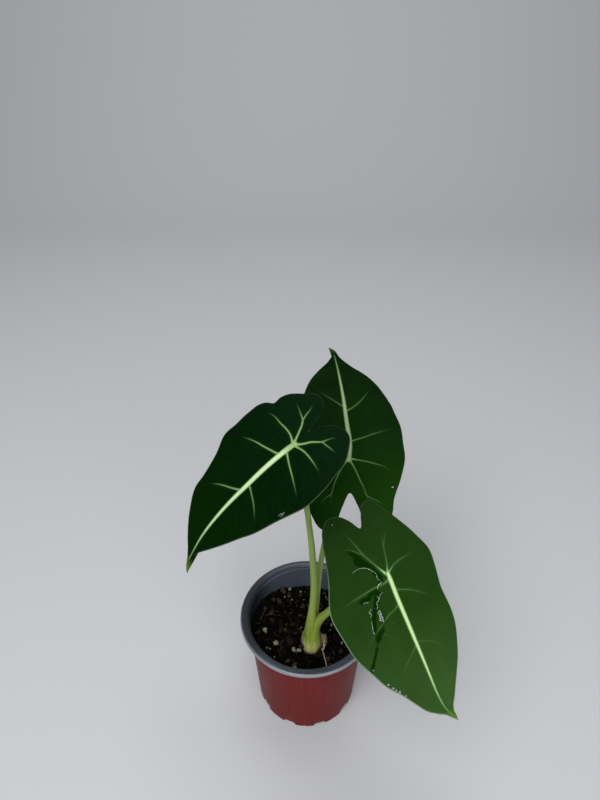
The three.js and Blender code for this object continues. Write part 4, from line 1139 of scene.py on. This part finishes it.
def leaf_surface(leaf):
    """Rings of a blade: out from the stalk over its upper face, round the margin and back below.

    A ring is the outline shrunk to a share of its size. The blade thins towards its margin, sinks a
    little along its veins, and stands out in ribs below. Also gives the flat places and the shares.
    """
    outline = smooth_path([*leaf["outline"], leaf["outline"][0]], BLADE_COLUMNS + 1)[:-1]
    upper = np.append(np.linspace(0.012, 1, UPPER_ROWS) ** 0.85 * 0.993, 0.999)
    under = np.append(0.999, np.linspace(1, 0.03, UNDER_ROWS) * 0.99)
    shares = np.concatenate([upper, [1.004], under])[:, None]
    face = np.concatenate([np.ones(len(upper)), [0], -np.ones(len(under))])[:, None]
    x, y = shares * outline[:, 0], shares * outline[:, 1]
    midrib_gap, vein_gap, strength, ribs, groove = vein_fields(leaf, x, y)
    half = BLADE_HALF_THICKNESS * (1 - 0.45 * smoothstep(0.6, 1, shares))
    calm = 1 - smoothstep(0.97, 1, shares)
    ridge = 0.12 * (1 - smoothstep(-0.6, 0.1, np.minimum(midrib_gap, vein_gap + 1 - strength)))
    drawn = 0.16 * unevenness(np.stack([x, y, 0 * x], -1), 13, 51) * smoothstep(2, 8, np.abs(y))
    relief = np.where(face > 0, ridge * calm, -ribs * calm * (face < 0)) - groove * calm + drawn * calm
    rings = on_blade(leaf, x, y, face * half + relief)
    reach = np.hypot(outline[:, 0], outline[:, 1])
    return rings, x, y, midrib_gap, vein_gap, strength, (1 - shares) * reach


def leaf_velvet(name, colours, shine, streakiness):
    """The upper face of a blade.

    Velvet: tiny domed cells trap light, so the face is deep and soft with almost no shine, and smoother
    where it is wet. The main veins are pale, finer ones show as slight streaks, and the margin is a thin
    pale line that fades on the lobes: partly the edge's own paler tone and partly a painted highlight. The
    colours grade from the lobes to the end: the blade's own tone, with painted light added on leaf_left and
    leaf_right. The midrib takes the colour named node where the stalk joins. Each share turns a field into
    how much of a colour is laid over the ones before it.
    """
    velvet, shader = new_material(name)
    place = add_node(velvet, "TexCoord").outputs["Object"]
    fields = {}
    for field in ("midrib_gap", "vein_gap", "strength", "margin", "stripe", "aside", "to_tip", "wet"):
        fields[field] = add_node(velvet, "Attribute", attribute_name=field).outputs["Fac"]
    tones = add_node(velvet, "TexNoise", {"Vector": place, "Scale": 1 / (22 * MM), "Detail": 3})
    cells = add_node(velvet, "TexNoise", {"Vector": place, "Scale": 1 / (0.45 * MM), "Detail": 2})
    stripe_place = add_node(velvet, "CombineXYZ", {"X": fields["stripe"], "Y": fields["aside"]}).outputs[0]
    stripes = add_node(velvet, "TexNoise", {"Vector": stripe_place, "Scale": 0.75, "Detail": 3})
    shares = {}
    for share, value, low, high, at_low, at_high, rise in (
        ("forward", fields["to_tip"], -0.4, 0.9, 0, 1, "LINEAR"),
        ("mottled", tones.outputs[0], 0.35, 0.7, 0, 0.3, "LINEAR"),
        ("striped", stripes.outputs[0], 0.45, 0.8, 0, streakiness, "LINEAR"),
        ("halo", fields["vein_gap"], 0, 2.2, 0.5, 0, "SMOOTHSTEP"),
        ("tip", fields["to_tip"], 0.92, 0.99, 0, 1, "LINEAR"),
        ("vein", fields["vein_gap"], -0.35, 0.35, 1, 0, "SMOOTHSTEP"),
        ("rib_edge", fields["midrib_gap"], -0.3, 0.4, 1, 0, "SMOOTHSTEP"),
        ("rib_core", fields["midrib_gap"], -0.9, -0.05, 1, 0, "SMOOTHSTEP"),
        ("off_join", fields["to_tip"], 0.03, 0.13, 0, 1, "SMOOTHSTEP"),
        # The pale margin is partly a painted highlight along the edge.
        ("margin", fields["margin"], 0.1, 0.45, 0.8, 0, "LINEAR"),
        ("past_lobes", fields["to_tip"], -0.25, 0.2, 0.25, 1, "LINEAR"),
        ("roughness", fields["wet"], 0, 1, 0.5, 0.25, "LINEAR"),
    ):
        shares[share] = add_node(velvet, "MapRange", {
            "Value": value, "From Min": low, "From Max": high, "To Min": at_low, "To Max": at_high,
        }, interpolation_type=rise).outputs[0]
    for share, limit in (
        ("halo", fields["strength"]), ("vein", fields["strength"]), ("margin", shares["past_lobes"]),
    ):
        shares[share] = add_node(velvet, "Math", {
            0: shares[share], 1: limit,
        }, operation="MULTIPLY").outputs[0]
    # On leaf_left and leaf_right this grade also holds painted light: sheen and shade set by how the blade
    # faces the lamps.
    graded = add_node(velvet, "ValToRGB", {"Fac": shares["forward"]})
    ramp = graded.color_ramp
    ramp.elements[0].color = linear(colours["lobes"])
    ramp.elements[1].color = linear(colours["end"])
    ramp.elements.new(0.5).color = linear(colours["middle"])
    rib_tone = add_node(velvet, "MixRGB", {
        "Fac": shares["off_join"], "Color1": colours["node"], "Color2": colours["midrib"],
    }).outputs[0]
    colour = graded.outputs[0]
    for share, layer in (
        (shares["mottled"], colours["lobes"]), (shares["striped"], colours["streak"]),
        (fields["wet"], "#061e01"), (shares["halo"], colours["streak"]), (shares["tip"], colours["tip"]),
        (shares["vein"], colours["vein"]), (shares["rib_edge"], colours["vein"]),
        (shares["rib_core"], rib_tone), (shares["margin"], colours["rim"]),
    ):
        colour = add_node(velvet, "MixRGB", {"Fac": share, "Color1": colour, "Color2": layer}).outputs[0]
    cell_bump = add_node(velvet, "Bump", {"Height": cells.outputs[0], "Strength": 0.3, "Distance": 0.1 * MM})
    stripe_bump = add_node(velvet, "Bump", {
        "Height": stripes.outputs[0], "Strength": 0.3, "Distance": 0.2 * MM, "Normal": cell_bump.outputs[0],
    })
    wire(velvet, shader, {
        "Base Color": colour, "Roughness": shares["roughness"], "IOR": 1.2, "Specular IOR Level": shine,
        "Normal": stripe_bump.outputs[0],
    })
    return velvet


# The underside: paler grey-green and matt, with ribs that are lighter still.
under_skin, shader = new_material("leaf underside")
place = add_node(under_skin, "TexCoord").outputs["Object"]
midrib_gap = add_node(under_skin, "Attribute", attribute_name="midrib_gap").outputs["Fac"]
vein_gap = add_node(under_skin, "Attribute", attribute_name="vein_gap").outputs["Fac"]
strength = add_node(under_skin, "Attribute", attribute_name="strength").outputs["Fac"]
stripe_place = add_node(under_skin, "CombineXYZ", {
    "X": add_node(under_skin, "Attribute", attribute_name="stripe").outputs["Fac"],
    "Y": add_node(under_skin, "Attribute", attribute_name="aside").outputs["Fac"],
}).outputs[0]
stripes = add_node(under_skin, "TexNoise", {"Vector": stripe_place, "Scale": 0.8, "Detail": 4})
striped = add_node(under_skin, "MixRGB", {
    "Fac": add_node(under_skin, "MapRange", {
        "Value": stripes.outputs[0], "From Min": 0.35, "From Max": 0.7,
    }).outputs[0],
    "Color1": "#3c5a2f", "Color2": "#55733f",
}).outputs[0]
vein_cover = add_node(under_skin, "MapRange", {
    "Value": vein_gap, "From Min": -0.1, "From Max": 0.35, "To Min": 1, "To Max": 0,
}).outputs[0]
veined = add_node(under_skin, "MixRGB", {
    "Fac": add_node(under_skin, "Math", {0: vein_cover, 1: strength}, operation="MULTIPLY").outputs[0],
    "Color1": striped, "Color2": "#8ea565",
}).outputs[0]
midrib_cover = add_node(under_skin, "MapRange", {
    "Value": midrib_gap, "From Min": 0, "From Max": 0.6, "To Min": 1, "To Max": 0,
}).outputs[0]
ribbed = add_node(under_skin, "MixRGB", {
    "Fac": midrib_cover, "Color1": veined, "Color2": "#93a862",
}).outputs[0]
stripe_bump = add_node(under_skin, "Bump", {
    "Height": stripes.outputs[0], "Strength": 0.5, "Distance": 0.3 * MM,
})
wire(under_skin, shader, {
    "Base Color": ribbed, "Roughness": 0.5, "Specular IOR Level": 0.35, "Normal": stripe_bump.outputs[0],
})

for name, leaf in LEAVES.items():
    rings, x, y, midrib_gap, vein_gap, strength, margin = leaf_surface(leaf)
    bands = np.arange(len(rings) - 1)
    piece = closed_mesh(name + "_blade", rings, np.where(bands <= UPPER_ROWS + 1, 0, 1))
    paint(piece, "midrib_gap", midrib_gap)
    paint(piece, "vein_gap", vein_gap)
    paint(piece, "strength", strength)
    paint(piece, "margin", margin + 0 * x)
    paint(piece, "stripe", x - 0.42 * np.abs(y))
    paint(piece, "aside", 0.12 * np.abs(y) + 30 * (y > 0))
    paint(piece, "to_tip", x / leaf["length"])
    wet = np.zeros(x.shape)
    if name == "leaf_right":
        blur = 0.5 * unevenness(np.stack([x, y, 0 * x], -1), 5, 61)
        for points, start, end in WET_PATHS:
            distance, along = to_path(x, y, points)
            wet = np.maximum(wet, 1 - smoothstep(-0.5, 0.5, distance + blur - start - (end - start) * along))
    paint(piece, "wet", wet)
    title = "velvety blade, " + name.replace("_", " ")
    piece.data.materials.append(leaf_velvet(title, leaf["colours"], leaf["shine"], leaf["streakiness"]))
    piece.data.materials.append(under_skin)
    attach(piece, "root")
    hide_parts(name)

# Water
# Drops and thin runs of water left on the right blade, and a few on the others. They stand up from the
# surface with round edges.

WATER_ROWS = 5
WATER_COLUMNS = 14
WATER_RUNS = {
    "leaf_right": [
        [[[-6.5, -19.9], [-7.4, -17], [-7.4, -13.5], [-6.1, -10], [-4, -7.7], [-1.8, -6.1], [0.9, -6.2],
          [2.9, -4.4]], 0.18],
        [[[8.7, -6.5], [9.8, -8.6], [11.6, -9.9], [9.4, -10.4]], 0.2],
        [[[11.6, -9.9], [13, -12], [14.7, -12.3], [16.4, -13.6]], 0.18],
        [[[16.6, -12.6], [18.6, -12.1], [20, -12.5], [21.4, -12.2], [23.4, -12.6]], 0.6],
        [[[17.4, -13.6], [19.4, -13.2], [21, -13.6], [22.8, -13.2]], 0.45],
        [[[10.8, -20.1], [10.8, -18.2], [11.2, -16.3]], 0.24],
        [[[14.2, -16.1], [15.6, -17.3], [16.4, -18.6], [17.6, -17.7], [18.9, -18.8]], 0.26],
        [[[20.3, -18.9], [23.3, -19.8], [25.6, -20.4], [27.9, -20.6]], 0.2],
        [[[3.4, -4.6], [4.6, -7.4], [6.4, -8.6]], 0.22],
    ],
    "leaf_left": [
        [[[29.6, 28.2], [27.6, 28.1], [26.6, 29], [28.9, 29.2]], 0.18],
    ],
}
WATER_DROPS = {
    "leaf_right": [
        [53.7, -24.8, 0.5], [56.4, -23, 0.7], [58, -21.9, 0.45], [59.5, -20.5, 0.75], [62.6, -18, 0.5],
        [-35.8, -19.8, 0.4], [44.3, -29.2, 0.4], [30, -14, 0.2], [26, -7, 0.2],
        [22, -14.2, 0.4], [15.3, -14.6, 0.3],
    ],
    "leaf_back": [[-20.3, -26.6, 0.5]],
    "leaf_left": [[26, 28.6, 0.3]],
}


def blade_frame(leaf, x, y):
    """Places on a blade's upper face, with the directions along x, along y and straight out there."""
    step = 0.05
    middle = on_blade(leaf, x, y, BLADE_HALF_THICKNESS)
    ahead = on_blade(leaf, x + step, y, BLADE_HALF_THICKNESS) - middle
    aside = on_blade(leaf, x, y + step, BLADE_HALF_THICKNESS) - middle
    out = np.cross(ahead, aside)
    return middle, ahead / step, aside / step, out / np.linalg.norm(out, axis=-1, keepdims=True)


def drop_rings(leaf, drops):
    """Low domes: each ring is a circle in the blade's face, and the height is that of an ellipse."""
    x, y, size = np.transpose(drops)
    middle, ahead, aside, out = (part[:, None, None] for part in blade_frame(leaf, x, y))
    turn = full_turn(WATER_COLUMNS)
    climb = np.linspace(-0.25, 0.48, WATER_ROWS)[:, None] * np.pi
    reach = (size[:, None, None] * np.cos(climb))[..., None]
    lift = (size[:, None, None] * (0.1 + 0.6 * np.sin(climb)) + 0 * turn)[..., None]
    uneven = (1 + 0.16 * np.sin(2 * turn + x[:, None, None]))[..., None]
    flat = ahead * np.cos(turn)[:, None] + aside * np.sin(turn)[:, None]
    return middle + reach * uneven * flat + lift * out


def run_rings(leaf, points, radius):
    """A run of water: a strand half sunk in the blade, thinner at its ends and uneven on the way."""
    path = smooth_path(points, 40)
    along = np.linspace(0, 1, 40)
    middle, _, _, out = blade_frame(leaf, path[:, 0], path[:, 1])
    swell = (1 + 0.35 * np.sin(23 * along + radius * 40)) * np.sqrt(np.sin(np.pi * (0.03 + 0.94 * along)))
    return tube_rings(middle + 0.05 * out, radius * swell, 10, (0.3, 0.4, -1))


# Tap water in thin runs: it shows the leaf under it and sends back small bright lights. Its whitish,
# partly diffuse colour is a painted highlight that stands in for glints along the runs and drops.
water, shader = new_material("water")
wire(water, shader, {
    "Base Color": "#e2ece6", "Roughness": 0.04, "IOR": 1.333, "Transmission Weight": 0.8,
})
for name, drops in WATER_DROPS.items():
    piece = closed_mesh(name + "_drops", drop_rings(LEAVES[name], drops))
    piece.data.materials.append(water)
    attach(piece, "root")
for name, runs in WATER_RUNS.items():
    piece = closed_mesh(name + "_runs", np.stack([run_rings(LEAVES[name], *run) for run in runs]))
    piece.data.materials.append(water)
    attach(piece, "root")

# Camera, floor and lights
# The camera stands in front of the plant and looks down on it, as the photo does.

camera = bpy.data.objects.new("camera", bpy.data.cameras.new("camera"))
camera.location = (-5.4 * MM, -277.3 * MM, 479.2 * MM)
camera.rotation_euler = (np.radians(90 - 34.93), 0, 0)
camera.data.lens = 27
camera.data.sensor_width = 36
camera.data.clip_start = 0.01
bpy.context.scene.collection.objects.link(camera)
bpy.context.scene.camera = camera


def sweep_profile():
    """The paper's run from back to front: level, a quarter turn of radius 0.9 m, and straight up."""
    bend = np.linspace(-np.pi / 2, 0, 24)
    curve = np.stack([1.1 + 0.9 * np.cos(bend), 0.9 + 0.9 * np.sin(bend)], -1)
    return np.concatenate([[[-3, 0]], curve, [[2, 4]]])


run = sweep_profile()
sides = np.array([-6, 6])[:, None]
sweep = np.stack([sides + 0 * run[:, 0], run[:, 0] + 0 * sides, run[:, 1] + 0 * sides], -1)
count = len(run)
i = np.arange(count - 1)
floor_mesh = bpy.data.meshes.new("floor")
floor_quads = np.stack([i, i + count, i + count + 1, i + 1], -1)
floor_mesh.from_pydata(sweep.reshape(-1, 3).tolist(), [], floor_quads.tolist())
floor_mesh.shade_smooth()
floor = bpy.data.objects.new("floor", floor_mesh)
bpy.context.scene.collection.objects.link(floor)
paper, shader = new_material("matt grey paper")
wire(paper, shader, {
    "Base Color": "#a9aaad", "Roughness": 0.9, "Specular IOR Level": 0.1,
})
floor_mesh.materials.append(paper)

LIGHTS = {
    "key": {"place": (-0.35, -0.75, 1.25), "aim": (0, 0, 0.15), "size": 0.8, "watts": 20},
    "fill": {"place": (0.5, -1.1, 0.7), "aim": (0, 0, 0.12), "size": 0.8, "watts": 7},
    "wall": {"place": (0, 0.3, 2.2), "aim": (0, 1.9, 0.5), "size": 1.2, "watts": 30},
}
for name, light in LIGHTS.items():
    data = bpy.data.lights.new(name, "AREA")
    data.size = light["size"]
    data.energy = light["watts"]
    lamp = bpy.data.objects.new(name, data)
    lamp.location = light["place"]
    lamp.rotation_euler = (Vector(light["aim"]) - lamp.location).to_track_quat("-Z", "Y").to_euler()
    bpy.context.scene.collection.objects.link(lamp)
world = bpy.data.worlds.new("studio")
world.use_nodes = True
world.node_tree.nodes["Background"].inputs["Color"].default_value = linear("#e6e9ee")
world.node_tree.nodes["Background"].inputs["Strength"].default_value = 0.26
bpy.context.scene.world = world
bpy.context.scene.view_settings.view_transform = "Standard"
